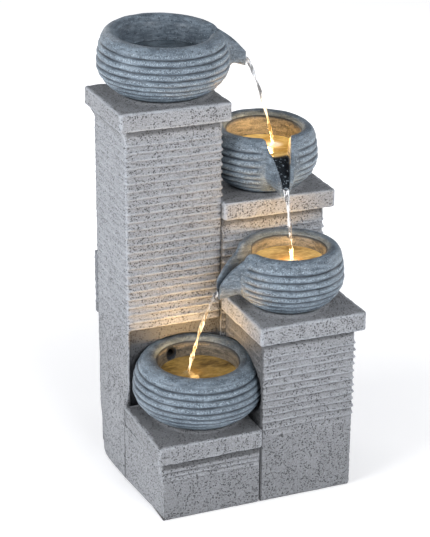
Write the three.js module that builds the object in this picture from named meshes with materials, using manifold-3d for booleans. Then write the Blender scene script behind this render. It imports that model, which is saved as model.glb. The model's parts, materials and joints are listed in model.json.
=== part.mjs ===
// A tabletop water fountain: four hollow cast columns of falling height, each under a cap slab that carries a
// bowl. Water is pumped to the top bowl and runs by three spouts into the lowest one, whose overflow hole leads
// back to the pump tank in the foot of the tall column.
// Millimetres, +Z up, +X right along the front, +Y to the back. The origin is the middle of the box's underside.
import * as THREE from 'three';
import { mergeVertices } from 'three/addons/utils/BufferGeometryUtils.js';
import Module from 'manifold-3d';

const wasm = await Module();
wasm.setup();

// ---------------------------------------------------------------- driving dimensions
const GAP = 0.35; // between pieces that touch
const WALL = 8; // of a column casting
const FLOOR = 8; // of a column casting
const EDGE = 3; // rounding of a column's upright edges

// Column outlines start at the front left corner of the low column.
const BASE_WIDTH = 235;
const BASE_DEPTH = 213;
const FRONT_DEPTH = 107; // of the low and third columns
const LOW_WIDTH = 120;
const TALL_WIDTH = 115;
const SECOND_OUT = 8; // the second column stands out past the third's right side
const FOOT_FLARE = 6; // of the tall column's left side
const FLARE_FADE = 55; // height over which the flare dies out

const CAP = { thick: 22, over: 8, round: 2.5, corner: 4 };
const TOP = { tall: 450, second: 332, third: 222, low: 96 }; // cap top faces

// Bowls: a large pair and a small pair. water is the depth of the water's face below the rim, and aside is how far
// a bowl stands from the middle of its column.
const LARGE = { radius: 75.5, height: 70.5, foot: 44, wall: 9, floor: 12 };
const SMALL = { radius: 64, height: 69.5, foot: 37, wall: 8.5, floor: 12 };
const BOWL_PLAN = {
  top: { ...LARGE, mouth: 52, water: 17, aside: [8.5, 3], column: 'tall' },
  second: { ...SMALL, mouth: 44, water: 21, aside: [5, -10], column: 'second' },
  third: { ...SMALL, mouth: 43, water: 12, aside: [-3.5, -1.5], column: 'third' },
  bottom: { ...LARGE, mouth: 49, water: 18, aside: [9, 9.5], column: 'low' },
};
const WIDEST = 0.47; // height of a bowl's widest ring, as a share of its height
const RIM = { width: 9, drop: 4 }; // rounded lip
const SPOUT = { reach: 19, rootHalf: 26, tipHalf: 9.5, under: 13, tipTop: 29, troughRoot: 17, troughTip: 4.5 };
const TROUGH = { rootDepth: 27, tipFloor: 18.5 }; // floor: below the rim at the root, above the foot at the tip
const POCKET = { gap: 1.6, cover: 16 }; // hollow in a column beside a bowl, and its rise over the rim
const BOWL_SIDES = 32;
const POCKET_SIDES = 24;

// above: over the tank's water line.
const OVERFLOW = { radius: 6, bore: 4.4, aside: 17, above: 6 };
const DOOR = { width: 108, above: 19.5, height: 80, thick: 7, plug: 4, open: 12, seal: 2.4, sealWidth: 6 };
const SCREW = { stem: 2, head: 4, headHigh: 2.4, inset: 7, bite: 5 };
const GLAND = { x: 17, above: 7.5, stem: 5, flange: 8, out: 9, nut: 8.5, nutHigh: 4 };

const PUMP = { width: 44, depth: 36, height: 40, cups: 6, rotor: 7.5, rotorLong: 18, impeller: 12.5, shaft: 1.5 };
const NOZZLE = { radius: 6, bore: 4, high: 16 };
const HOSE = { clear: 0.4, wall: 1.9, sides: 12 };
const CLAMP = { high: 7, thick: 1.4 };
const INLET = { bore: 4, flange: 13, flangeHigh: 3, below: 20, nutHigh: 7, nut: 11, seal: 1.2 };

const LED = { stem: 8, flange: 14, flangeHigh: 7, below: 6, lens: 11, lensHigh: 5, seal: 1.2 };
const LEAD = { radius: 2, sides: 8 };
const GROMMET = { radius: 4.6, bore: 2.9, lip: 2 };
const CROSSING = { second: 52, apart: 14, third: 72, low: 52, lowX: 30, y: 192 }; // below the cap tops
const BOX = { x: 10, y: 160, above: 8, width: 28, depth: 40, height: 34, wall: 2, lid: 2.2 };

// ---------------------------------------------------------------- materials
const finish = (color, roughness, metalness = 0) => ({ color, roughness, metalness });
const CAST = finish(0x8d9095, 0.9);
const BOWL_GLAZE = finish(0x5d6b7a, 0.6);
const BLACK_PLASTIC = finish(0x1b1d20, 0.5);
const GREY_PLASTIC = finish(0x8b9096, 0.5);
const RUBBER = finish(0x151515, 0.85);
const CLEAR_HOSE = finish(0xb9c4c6, 0.3);
const STEEL = finish(0xb8bcc0, 0.3, 1);
const BRASS = finish(0xb58d3f, 0.35, 1);
const CERAMIC = finish(0xe8e6df, 0.3);
const MAGNET = finish(0x2a2a2e, 0.5);
const LENS = finish(0xffe7b0, 0.15);

// ---------------------------------------------------------------- solids
function solidOf(geometry) {
  const bare = geometry.clone();
  bare.deleteAttribute('normal');
  bare.deleteAttribute('uv');
  const merged = mergeVertices(bare, 1e-4);
  return new wasm.Manifold(new wasm.Mesh({
    numProp: 3,
    vertProperties: new Float32Array(merged.attributes.position.array),
    triVerts: new Uint32Array(merged.index.array),
  }));
}

function geometryOf(solid) {
  const mesh = solid.getMesh();
  const geometry = new THREE.BufferGeometry();
  geometry.setAttribute('position', new THREE.BufferAttribute(new Float32Array(mesh.vertProperties), 3));
  geometry.setIndex(new THREE.BufferAttribute(new Uint32Array(mesh.triVerts), 1));
  geometry.computeVertexNormals();
  return geometry;
}

// A box between two corners.
function block(x0, x1, y0, y1, z0, z1) {
  const geometry = new THREE.BoxGeometry(x1 - x0, y1 - y0, z1 - z0);
  return solidOf(geometry.translate((x0 + x1) / 2, (y0 + y1) / 2, (z0 + z1) / 2));
}

// An upright cylinder from z0 to z1.
function rod(radius, z0, z1, sides = 16) {
  const geometry = new THREE.CylinderGeometry(radius, radius, z1 - z0, sides);
  return solidOf(geometry.rotateX(Math.PI / 2).translate(0, 0, (z0 + z1) / 2));
}

const ring = (outer, inner, z0, z1, sides = 16) => rod(outer, z0, z1, sides).subtract(rod(inner, z0 - 1, z1 + 1, sides));

const hexNut = (outer, inner, z0, z1) => rod(outer, z0, z1, 6).subtract(rod(inner, z0 - 1, z1 + 1));

// A turned solid about Z from [radius, height] points that start and end on the axis.
function turned(points, sides = BOWL_SIDES) {
  const outline = points.map(([r, z]) => new THREE.Vector2(r, z));
  const geometry = new THREE.LatheGeometry(outline, sides).rotateX(Math.PI / 2);
  return solidOf(geometry);
}

function roundedOutline(x0, x1, y0, y1, r) {
  const shape = new THREE.Shape();
  shape.moveTo(x0 + r, y0);
  shape.lineTo(x1 - r, y0).quadraticCurveTo(x1, y0, x1, y0 + r);
  shape.lineTo(x1, y1 - r).quadraticCurveTo(x1, y1, x1 - r, y1);
  shape.lineTo(x0 + r, y1).quadraticCurveTo(x0, y1, x0, y1 - r);
  shape.lineTo(x0, y0 + r).quadraticCurveTo(x0, y0, x0 + r, y0);
  return shape;
}

// An upright prism with rounded corners, its top and bottom edges rounded too when bevel is given.
function prism(x0, x1, y0, y1, z0, z1, corner, bevel = 0) {
  const shape = roundedOutline(x0 + bevel, x1 - bevel, y0 + bevel, y1 - bevel, corner);
  const geometry = new THREE.ExtrudeGeometry(shape, {
    depth: z1 - z0 - 2 * bevel,
    curveSegments: 3,
    bevelEnabled: bevel > 0,
    bevelThickness: bevel,
    bevelSize: bevel,
    bevelSegments: 2,
  });
  return solidOf(geometry.translate(0, 0, z0 + bevel));
}

// A flat outline of [a, b] points pushed through a distance along the third axis.
function plate(points, distance) {
  const shape = new THREE.Shape(points.map(([a, b]) => new THREE.Vector2(a, b)));
  return new THREE.ExtrudeGeometry(shape, { depth: distance, bevelEnabled: false });
}

// A tube along a smooth path through points; hollow when bore is given.
function tube(points, radius, sides, steps, bore = 0) {
  const path = new THREE.CatmullRomCurve3(points.map((p) => new THREE.Vector3(...p)), false, 'centripetal');
  const circle = (r) => Array.from({ length: sides }, (_, i) => {
    const a = (2 * Math.PI * i) / sides;
    return new THREE.Vector2(r * Math.cos(a), r * Math.sin(a));
  });
  const shape = new THREE.Shape(circle(radius));
  if (bore > 0) shape.holes.push(new THREE.Path(circle(bore).reverse()));
  return solidOf(new THREE.ExtrudeGeometry(shape, { steps, bevelEnabled: false, extrudePath: path }));
}

// ---------------------------------------------------------------- assembly
const assembly = new THREE.Group();

function place(parent, name, solid, look, x = 0, y = 0, z = 0) {
  const mesh = new THREE.Mesh(geometryOf(solid), new THREE.MeshStandardMaterial(look));
  mesh.name = name;
  mesh.position.set(x, y, z);
  parent.add(mesh);
  return mesh;
}

function groupAt(x, y, z) {
  const group = new THREE.Group();
  group.position.set(x, y, z);
  assembly.add(group);
  return group;
}

// ---------------------------------------------------------------- layout
const SEAM = GAP / 2; // each casting stands off its neighbour by this
const SECOND_RIGHT = BASE_WIDTH + SECOND_OUT;
const COLUMNS = {
  tall: { x0: 0, x1: TALL_WIDTH - SEAM, y0: FRONT_DEPTH + SEAM, y1: BASE_DEPTH },
  second: { x0: TALL_WIDTH + SEAM, x1: SECOND_RIGHT, y0: FRONT_DEPTH + SEAM, y1: BASE_DEPTH },
  third: { x0: LOW_WIDTH + SEAM, x1: BASE_WIDTH, y0: 0, y1: FRONT_DEPTH - SEAM },
  low: { x0: 0, x1: LOW_WIDTH - SEAM, y0: 0, y1: FRONT_DEPTH - SEAM },
};
const BOWLS = Object.fromEntries(Object.entries(BOWL_PLAN).map(([name, plan]) => {
  const c = COLUMNS[plan.column];
  const x = (c.x0 + c.x1) / 2 + plan.aside[0];
  const y = (c.y0 + c.y1) / 2 + plan.aside[1];
  return [name, { ...plan, x, y, base: TOP[plan.column] }];
}));
const waterLine = BOWLS.bottom.base + BOWLS.bottom.height - BOWLS.bottom.water; // of the bottom bowl and the tank

// ---------------------------------------------------------------- bowls
const ARC = 4; // steps in a quarter of a bowl's outline
const quarter = Array.from({ length: ARC + 1 }, (_, i) => (i / ARC) * (Math.PI / 2));

// A bowl's outside from foot to rim, swollen by extra.
function outside(bowl, extra = 0) {
  const mid = bowl.height * WIDEST;
  const rim = bowl.mouth + RIM.width;
  const lower = quarter.map((a) => [bowl.foot + (bowl.radius - bowl.foot) * Math.sin(a) + extra, mid * (1 - Math.cos(a))]);
  const upper = quarter.slice(1).map((a) => [
    rim + (bowl.radius - rim) * Math.cos(a) + extra,
    mid + (bowl.height - mid) * Math.sin(a),
  ]);
  return [...lower, ...upper];
}

function hollow(bowl) {
  const mid = bowl.height * WIDEST;
  const widest = bowl.radius - bowl.wall;
  const flat = bowl.foot * 0.7;
  const lip = bowl.height - RIM.drop;
  const lower = quarter.map((a) => [flat + (widest - flat) * Math.sin(a), bowl.floor + (mid - bowl.floor) * (1 - Math.cos(a))]);
  const upper = quarter.slice(1).map((a) => [
    bowl.mouth - GAP + (widest - bowl.mouth + GAP) * Math.cos(a),
    mid + (lip - mid) * Math.sin(a),
  ]);
  return turned([[0, bowl.floor], ...lower, ...upper, [bowl.mouth - GAP, bowl.height + 9], [0, bowl.height + 9]]);
}

// A wedge along +X: side is its outline in X and Z, plan in X and Y.
function wedge(side, plan, halfWidth, height) {
  const upright = solidOf(plate(side, 2 * halfWidth).rotateX(Math.PI / 2).translate(0, halfWidth, 0));
  const level = solidOf(plate(plan, height));
  return upright.intersect(level);
}

function bowlSolid(bowl, spouted, centreHole) {
  const tip = bowl.radius + SPOUT.reach;
  const lipInner = bowl.mouth + RIM.width / 3;
  let solid = turned([
    [0, 0], ...outside(bowl), [lipInner, bowl.height - 1], [bowl.mouth, bowl.height - RIM.drop], [0, bowl.height - RIM.drop],
  ]);
  if (spouted) {
    const root = bowl.radius * 0.5;
    const nose = wedge(
      [
        [root, SPOUT.under], [tip - 3, SPOUT.under], [tip, SPOUT.under + 4], [tip, SPOUT.tipTop],
        [(tip + bowl.mouth) / 2 + 2, (SPOUT.tipTop + bowl.height) / 2 + 1],
        [bowl.mouth + RIM.width * 0.8, bowl.height - 1.5], [root, bowl.height - 1.5],
      ],
      [[root, -SPOUT.rootHalf], [tip + 1, -SPOUT.tipHalf], [tip + 1, SPOUT.tipHalf], [root, SPOUT.rootHalf]],
      SPOUT.rootHalf + 5, bowl.height + 20,
    );
    solid = solid.add(nose);
  }
  solid = solid.subtract(hollow(bowl));
  if (spouted) {
    const root = bowl.radius * 0.35;
    const deep = bowl.height - TROUGH.rootDepth;
    solid = solid.subtract(wedge(
      [[root, deep], [bowl.mouth, deep], [tip + 4, TROUGH.tipFloor], [tip + 4, bowl.height + 9], [root, bowl.height + 9]],
      [
        [root, -SPOUT.troughRoot], [bowl.mouth, -SPOUT.troughRoot], [tip + 4, -SPOUT.troughTip],
        [tip + 4, SPOUT.troughTip], [bowl.mouth, SPOUT.troughRoot], [root, SPOUT.troughRoot],
      ],
      SPOUT.rootHalf + 5, bowl.height + 20,
    ));
  }
  return solid.subtract(rod(centreHole, -5, bowl.floor + 5));
}

// The space that a bowl takes from a column beside it: gap round the bowl plus any wall behind the pocket.
function pocket(bowl, extra = 0) {
  const grown = POCKET.gap + extra;
  const top = bowl.height + POCKET.cover + extra;
  const ridge = outside(bowl, grown).slice(1, -1);
  const rim = bowl.mouth + RIM.width + grown;
  const outline = [[0, -extra], [bowl.foot + grown, -extra], ...ridge, [rim + 4, bowl.height], [bowl.foot + extra, top], [0, top]];
  return turned(outline, POCKET_SIDES).translate([bowl.x, bowl.y, bowl.base + (extra > 0 ? 0 : GAP)]);
}

const FLOWS = [['top', 'second'], ['second', 'third'], ['third', 'bottom']];
const inletStem = NOZZLE.radius; // the hose fits both of its ends
const stemOf = { top: inletStem, second: LED.stem, third: LED.stem, bottom: LED.stem };
// The back of the wall that bulges into the tall column round the bottom bowl.
const pocketBack = BOWLS.bottom.y + BOWLS.bottom.radius + POCKET.gap + WALL;
const overflow = {
  x: BOWLS.bottom.x - OVERFLOW.aside,
  z: waterLine + OVERFLOW.above,
  from: BOWLS.bottom.y + BOWLS.bottom.mouth - 3,
  to: pocketBack + 1,
};
const alongY = (solid) => solid.rotate([-90, 0, 0]); // stands a piece made along +Z up along +Y
const alongX = (solid) => solid.rotate([0, 90, 0]);

function makeBowls() {
  for (const name of Object.keys(BOWLS)) {
    const bowl = BOWLS[name];
    const flow = FLOWS.find(([from]) => from === name);
    let solid = bowlSolid(bowl, Boolean(flow), stemOf[name] + GAP);
    let turn = 0;
    if (flow) {
      const next = BOWLS[flow[1]];
      turn = Math.atan2(next.y - bowl.y, next.x - bowl.x);
    } else {
      const bore = alongY(rod(OVERFLOW.radius + GAP, 0, bowl.radius + 5));
      solid = solid.subtract(bore.translate([overflow.x - bowl.x, 0, overflow.z - bowl.base]));
    }
    const mesh = place(assembly, `bowl_${name}`, solid, BOWL_GLAZE, bowl.x, bowl.y, bowl.base + GAP);
    mesh.rotation.z = turn;
  }
}

// ---------------------------------------------------------------- columns and caps
// Where leads cross from one column to the next.
const upperZ = TOP.second - CROSSING.second;
const sideways = (name, y, z) => ({ name, axis: 'x', x: TALL_WIDTH, y, z, through: ['tall', 'second'] });
const backwards = (name, x, z, through) => ({ name, axis: 'y', x, y: FRONT_DEPTH, z, through });
const CROSSINGS = [
  sideways('second', CROSSING.y, upperZ),
  sideways('third_upper', CROSSING.y - 12, upperZ - CROSSING.apart),
  backwards('third_lower', BOWLS.third.x, TOP.third - CROSSING.third, ['third', 'second']),
  backwards('low', CROSSING.lowX, TOP.low - CROSSING.low, ['low', 'tall']),
];

const door = {
  x: (COLUMNS.tall.x0 + COLUMNS.tall.x1) / 2,
  z: waterLine + DOOR.above + DOOR.height / 2,
  height: DOOR.height,
};
const glandZ = waterLine + GLAND.above;
const boxZ = door.z + DOOR.height / 2 + BOX.above;
const hatch = { halfWidth: DOOR.width / 2 - DOOR.open, halfHeight: door.height / 2 - DOOR.open };
const screwSpots = [-1, 1].flatMap((sx) => [-1, 1].map((sz) => [
  door.x + sx * (DOOR.width / 2 - SCREW.inset), door.z + sz * (door.height / 2 - SCREW.inset),
]));

function crossingBore(c) {
  const bore = rod(GROMMET.radius + GAP, -2 * WALL, 2 * WALL);
  const turnedBore = c.axis === 'x' ? alongX(bore) : alongY(bore);
  return turnedBore.translate([c.x, c.y, c.z]);
}

function makeColumns() {
  for (const name of Object.keys(COLUMNS)) {
    const c = COLUMNS[name];
    const top = TOP[name] - CAP.thick - GAP;
    let outer = prism(c.x0, c.x1, c.y0, c.y1, 0, top, EDGE);
    let inner = prism(c.x0 + WALL, c.x1 - WALL, c.y0 + WALL, c.y1 - WALL, FLOOR, top + 10, 1);
    if (name === 'tall') {
      const flare = [
        [EDGE + 2, 0], [EDGE + 2, TOP.low + FLARE_FADE], [0, TOP.low + FLARE_FADE], [-FOOT_FLARE, TOP.low],
        [-FOOT_FLARE, 6], [-FOOT_FLARE / 2, 0],
      ];
      const side = solidOf(plate(flare, c.y1 - c.y0 - EDGE).rotateX(Math.PI / 2).translate(0, c.y1 - EDGE / 2, 0));
      outer = outer.add(side);
    }
    for (const bowl of Object.values(BOWLS).filter((b) => b.base < top)) {
      outer = outer.subtract(pocket(bowl));
      inner = inner.subtract(pocket(bowl, WALL));
    }
    let shell = outer.subtract(inner);
    for (const crossing of CROSSINGS.filter((x) => x.through.includes(name))) {
      shell = shell.subtract(crossingBore(crossing));
    }
    if (name === 'tall') shell = shell.subtract(tallOpenings());
    place(assembly, `column_${name}`, shell, CAST);
  }
}

// The tall column's rear hatch, screw holes, cable gland hole and overflow hole.
function tallOpenings() {
  const back = BASE_DEPTH;
  let cut = block(
    door.x - hatch.halfWidth, door.x + hatch.halfWidth, back - WALL - 2, back + 5,
    door.z - hatch.halfHeight, door.z + hatch.halfHeight,
  );
  for (const [x, z] of screwSpots) {
    cut = cut.add(alongY(rod(SCREW.stem + GAP, -SCREW.bite - 1, 5, 12)).translate([x, back, z]));
  }
  cut = cut.add(alongY(rod(GLAND.stem + GAP, -WALL - 2, 5)).translate([GLAND.x, back, glandZ]));
  const bore = alongY(rod(OVERFLOW.radius + GAP, FRONT_DEPTH - 5, overflow.to + 5));
  return cut.add(bore.translate([overflow.x, 0, overflow.z]));
}

const CAP_EDGES = {
  tall: { x0: -CAP.over, x1: TALL_WIDTH + CAP.over, y0: FRONT_DEPTH - CAP.over, y1: BASE_DEPTH + CAP.over },
  second: { x0: TALL_WIDTH + GAP, x1: SECOND_RIGHT + CAP.over + 2, y0: FRONT_DEPTH - CAP.over, y1: BASE_DEPTH + CAP.over },
  third: { x0: LOW_WIDTH - CAP.over + 3, x1: BASE_WIDTH + CAP.over + 1, y0: -CAP.over, y1: FRONT_DEPTH - GAP },
  low: { x0: -CAP.over + 3, x1: LOW_WIDTH - GAP, y0: -CAP.over + 2, y1: FRONT_DEPTH - GAP },
};

function makeCaps() {
  for (const name of Object.keys(CAP_EDGES)) {
    const e = CAP_EDGES[name];
    const bowl = BOWLS[{ tall: 'top', second: 'second', third: 'third', low: 'bottom' }[name]];
    const hole = stemOf[{ tall: 'top', second: 'second', third: 'third', low: 'bottom' }[name]] + GAP;
    const slab = prism(e.x0, e.x1, e.y0, e.y1, TOP[name] - CAP.thick, TOP[name], CAP.corner, CAP.round);
    const solid = slab.subtract(rod(hole, TOP[name] - CAP.thick - 5, TOP[name] + 5).translate([bowl.x, bowl.y, 0]));
    place(assembly, `cap_${name}`, solid, CAST);
  }
}

// ---------------------------------------------------------------- rear door and cable gland
const doorFace = BASE_DEPTH + GAP + DOOR.seal + GAP; // inner face of the door slab

function makeDoor() {
  const half = { w: DOOR.width / 2, h: door.height / 2 };
  const group = groupAt(door.x, 0, door.z);
  const slab = prism(-half.w, half.w, -half.h, half.h, 0, DOOR.thick, 4, 1.5);
  const inset = 1 + DOOR.seal + GAP;
  const plug = block(
    -hatch.halfWidth + 1, hatch.halfWidth - 1, -hatch.halfHeight + 1, hatch.halfHeight - 1, -DOOR.plug - inset, 2,
  );
  const stand = (solid) => solid.rotate([-90, 0, 0]); // +Z of the drawing becomes +Y
  let solid = stand(slab.add(plug)).translate([0, doorFace, 0]);
  for (const [x, z] of screwSpots) {
    solid = solid.subtract(alongY(rod(SCREW.stem + GAP, -5, DOOR.thick + 5, 12)).translate([x - door.x, doorFace, z - door.z]));
  }
  place(group, 'rear_door', solid, CAST);
  const inW = hatch.halfWidth + GAP;
  const inH = hatch.halfHeight + GAP;
  const outW = Math.min(inW + DOOR.sealWidth, half.w - SCREW.inset - SCREW.stem - 1);
  const frame = block(-outW, outW, -inH - DOOR.sealWidth / 2, inH + DOOR.sealWidth / 2, 0, DOOR.seal)
    .subtract(block(-inW, inW, -inH, inH, -1, DOOR.seal + 1));
  place(group, 'door_seal', stand(frame).translate([0, BASE_DEPTH + GAP, 0]), RUBBER);
  screwSpots.forEach(([x, z], i) => {
    const outer = doorFace + DOOR.thick + GAP;
    const stem = rod(SCREW.stem, BASE_DEPTH - SCREW.bite, outer + 1, 8);
    const head = rod(SCREW.head, outer, outer + SCREW.headHigh, 12);
    const slot = block(-SCREW.head - 1, SCREW.head + 1, -0.6, 0.6, outer + SCREW.headHigh - 1, outer + 9);
    place(assembly, `door_screw_${i + 1}`, alongY(stem.add(head).subtract(slot)), STEEL, x, 0, z);
  });
}

function makeGland() {
  const group = groupAt(GLAND.x, BASE_DEPTH, glandZ);
  const body = rod(GLAND.stem, -WALL - GLAND.nutHigh - 2, 1)
    .add(rod(GLAND.flange, GAP, 3))
    .add(turned([[0, 1], [GLAND.stem + 1.5, 1], [GLAND.stem - 0.5, GLAND.out], [0, GLAND.out]], 20))
    .subtract(rod(LEAD.radius + 0.6 + GAP, -WALL - 20, GLAND.out + 5));
  place(group, 'cable_gland', alongY(body), BLACK_PLASTIC);
  const nut = hexNut(GLAND.nut, GLAND.stem + GAP, -WALL - GAP - GLAND.nutHigh, -WALL - GAP);
  place(group, 'gland_nut', alongY(nut), BLACK_PLASTIC);
}

// ---------------------------------------------------------------- overflow
function makeOverflow() {
  const length = overflow.to - overflow.from;
  const pipe = ring(OVERFLOW.radius, OVERFLOW.bore, 0, length);
  place(assembly, 'return_tube', alongY(pipe), RUBBER, overflow.x, overflow.from, overflow.z);
}

// ---------------------------------------------------------------- pump
const pumpBase = FLOOR + GAP + PUMP.cups;
const axisZ = PUMP.height / 2 - 1; // of the rotor, above the pump's underside
const hoseInner = NOZZLE.radius + HOSE.clear;
const hoseOuter = hoseInner + HOSE.wall;
const riserY = pocketBack + hoseOuter + 3; // the hose rises just behind the bulging wall
const nozzleBack = NOZZLE.radius + 4; // of the nozzle's axis, behind the pump's front
const pumpSpot = { x: BOWLS.top.x, y: riserY - nozzleBack, z: pumpBase };
const volute = { radius: PUMP.impeller + 2, deep: 8 };

// The pump is drawn with its front at y = 0 and its rotor axis along +Y.
function makePump() {
  const group = groupAt(pumpSpot.x, pumpSpot.y, pumpSpot.z);
  const lift = (solid, y = 0) => alongY(solid).translate([0, y, axisZ]);
  const motorBore = PUMP.rotor + 1;
  const shaftEnd = volute.deep + PUMP.rotorLong + 5;
  const half = PUMP.width / 2;
  const bushSeat = 3.6;
  const shell = block(-half, half, 0, PUMP.depth, 0, PUMP.height)
    .subtract(lift(rod(volute.radius, -1, volute.deep, 24)))
    .subtract(lift(rod(motorBore, 0, volute.deep + PUMP.rotorLong + 1.5, 20)))
    .subtract(lift(rod(bushSeat + GAP, 0, shaftEnd + 1, 16)))
    .subtract(rod(NOZZLE.bore, PUMP.height - 12, PUMP.height + 5).translate([0, nozzleBack, 0]))
    .subtract(block(-NOZZLE.bore, NOZZLE.bore, 2, volute.deep, axisZ, PUMP.height - 6));
  place(group, 'pump_housing', shell, BLACK_PLASTIC);

  const blades = Array.from({ length: 6 }, (_, i) => block(3, PUMP.impeller, -0.7, 0.7, 2, 5.5).rotate([0, 0, 60 * i]));
  const turning = blades.reduce(
    (sum, blade) => sum.add(blade),
    rod(PUMP.impeller, 5, 7, 24).add(rod(PUMP.rotor, 6.5, 7 + PUMP.rotorLong, 16)).add(rod(4, 2, 6, 12)),
  ).subtract(rod(PUMP.shaft + GAP, -1, 60, 12));
  place(group, 'pump_rotor', lift(turning), MAGNET);
  place(group, 'pump_shaft', lift(rod(PUMP.shaft, 0.6, shaftEnd, 12)), CERAMIC);
  const rear = ring(bushSeat, PUMP.shaft + GAP, shaftEnd - 3, shaftEnd - 3 + 2.4, 16);
  place(group, 'pump_bush_rear', lift(rear), RUBBER);

  const arms = [0, 90].map((a) => block(-volute.radius + 2, volute.radius - 2, -1, 1, -2.4, 0).rotate([0, 0, a]));
  const cover = block(-half, half, -axisZ, PUMP.height - axisZ, -2.4, -GAP)
    .subtract(rod(8, -9, 9, 20))
    .add(arms[0].add(arms[1]).translate([0, 0, -GAP]).subtract(rod(3, -9, 9, 16)))
    .add(ring(5, 2.9, -2.4, -GAP, 16));
  place(group, 'volute_cover', lift(cover), GREY_PLASTIC);
  const front = ring(2.9 - GAP, PUMP.shaft + GAP, -2.2, 0.4, 16);
  place(group, 'pump_bush_front', lift(front), RUBBER);

  const cageBack = -2.4 - GAP;
  const cageDeep = 9;
  let cage = block(-half, half, cageBack - cageDeep, cageBack, 0, PUMP.height)
    .subtract(block(-half + 2, half - 2, cageBack - cageDeep + 2, cageBack + 1, 2, PUMP.height - 2));
  for (let i = -2; i <= 2; i += 1) {
    cage = cage.subtract(block(i * 7.5 - 1.6, i * 7.5 + 1.6, cageBack - cageDeep - 1, cageBack - cageDeep + 3, 5, PUMP.height - 14));
  }
  const dialZ = PUMP.height - 7;
  cage = cage.subtract(alongY(rod(2.2 + GAP, -30, cageBack - cageDeep + 3 + 30, 16)).translate([0, cageBack - cageDeep - 5, dialZ])
    .intersect(block(-5, 5, -40, cageBack - 3, 0, PUMP.height)));
  place(group, 'intake_grille', cage, BLACK_PLASTIC);
  const dialFace = cageBack - cageDeep - GAP;
  const dial = alongY(rod(6, -3, 0, 20).add(rod(2.2, -1, 4.5, 16)).add(block(-1, 1, 0, 8.5, -4.5, -1)));
  place(group, 'flow_dial', dial, GREY_PLASTIC, 0, dialFace, dialZ);

  const nozzle = ring(NOZZLE.radius + 2, NOZZLE.bore, GAP, 3).add(ring(NOZZLE.radius, NOZZLE.bore, 2, NOZZLE.high));
  place(group, 'outlet_nozzle', nozzle, BLACK_PLASTIC, 0, nozzleBack, PUMP.height);

  const cup = turned([[0, 3], [5.5, 0], [6.5, 0], [3, 4], [2.5, PUMP.cups - GAP], [0, PUMP.cups - GAP]], 16);
  [[-1, 0], [1, 0], [-1, 1], [1, 1]].forEach(([side, back], i) => {
    place(group, `suction_cup_${i + 1}`, cup, RUBBER, side * (half - 8), back ? PUMP.depth - 8 : 8, -PUMP.cups);
  });
}

const riser = {
  x: pumpSpot.x,
  y: riserY,
  low: pumpSpot.z + PUMP.height + 4,
  high: TOP.tall - CAP.thick - INLET.nutHigh - 3,
};

function makeRiser() {
  const { x, y, low, high } = riser;
  const end = { x: BOWLS.top.x, y: BOWLS.top.y };
  const lean = (share) => [x + (end.x - x) * share, y + (end.y - y) * share];
  const span = high - low;
  const points = [
    [x, y, low], [x, y, low + NOZZLE.high], [...lean(0.15), low + span * 0.3], [...lean(0.85), low + span * 0.7],
    [end.x, end.y, high - INLET.below], [end.x, end.y, high],
  ];
  place(assembly, 'riser_hose', tube(points, hoseOuter, HOSE.sides, 18, hoseInner), CLEAR_HOSE);
  const clamp = ring(hoseOuter + GAP + CLAMP.thick, hoseOuter + GAP, 0, CLAMP.high, 24)
    .add(block(hoseOuter + GAP + 0.4, hoseOuter + GAP + 6, -2, 2, 0, CLAMP.high));
  place(assembly, 'hose_clamp', clamp, STEEL, x, y, low + 3);
}

function makeInlet() {
  const group = groupAt(BOWLS.top.x, BOWLS.top.y, TOP.tall + GAP);
  const floor = LARGE.floor;
  const seat = floor + INLET.seal + 2 * GAP;
  const under = -CAP.thick - GAP; // the cap's underside in this group
  const body = ring(INLET.flange, INLET.bore, seat, seat + INLET.flangeHigh, 24)
    .add(ring(inletStem, INLET.bore, under - INLET.nutHigh - INLET.below, seat + 1));
  place(group, 'inlet_fitting', body, BRASS);
  place(group, 'inlet_seal', ring(INLET.flange, inletStem + GAP, floor + GAP, floor + GAP + INLET.seal, 24), RUBBER);
  const nutTop = under - GAP;
  place(group, 'inlet_nut', hexNut(INLET.nut, inletStem + GAP, nutTop - INLET.nutHigh + 1, nutTop), BRASS);
}

// ---------------------------------------------------------------- lights and leads
const LIT = ['second', 'third', 'bottom'];

function makeLights() {
  for (const name of LIT) {
    const bowl = BOWLS[name];
    const group = groupAt(bowl.x, bowl.y, bowl.base + GAP);
    const seat = bowl.floor + LED.seal + 2 * GAP;
    const top = seat + LED.flangeHigh;
    const under = -CAP.thick - GAP - LED.below;
    const cup = turned([[0, seat], [LED.flange, seat], [LED.flange, top - 2], [LED.flange - 2, top], [0, top]], 24)
      .add(rod(LED.stem, under, seat + 1))
      .subtract(rod(LED.lens + GAP, top - 3, top + 5, 24));
    place(group, `led_housing_${name}`, cup, BLACK_PLASTIC);
    place(group, `led_seal_${name}`, ring(LED.flange, LED.stem + GAP, bowl.floor + GAP, bowl.floor + GAP + LED.seal, 24), RUBBER);
    const base = top - 3 + GAP;
    const dome = turned([[0, base], [LED.lens, base], [LED.lens, base + 2], [LED.lens * 0.75, base + 4], [0, base + LED.lensHigh]], 24);
    place(group, `led_lens_${name}`, dome, LENS);
  }
}

function ledUnder(name) {
  const bowl = BOWLS[name];
  return [bowl.x, bowl.y, bowl.base - CAP.thick - LED.below - GAP];
}

const boxRight = BOX.x + BOX.width;

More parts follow.
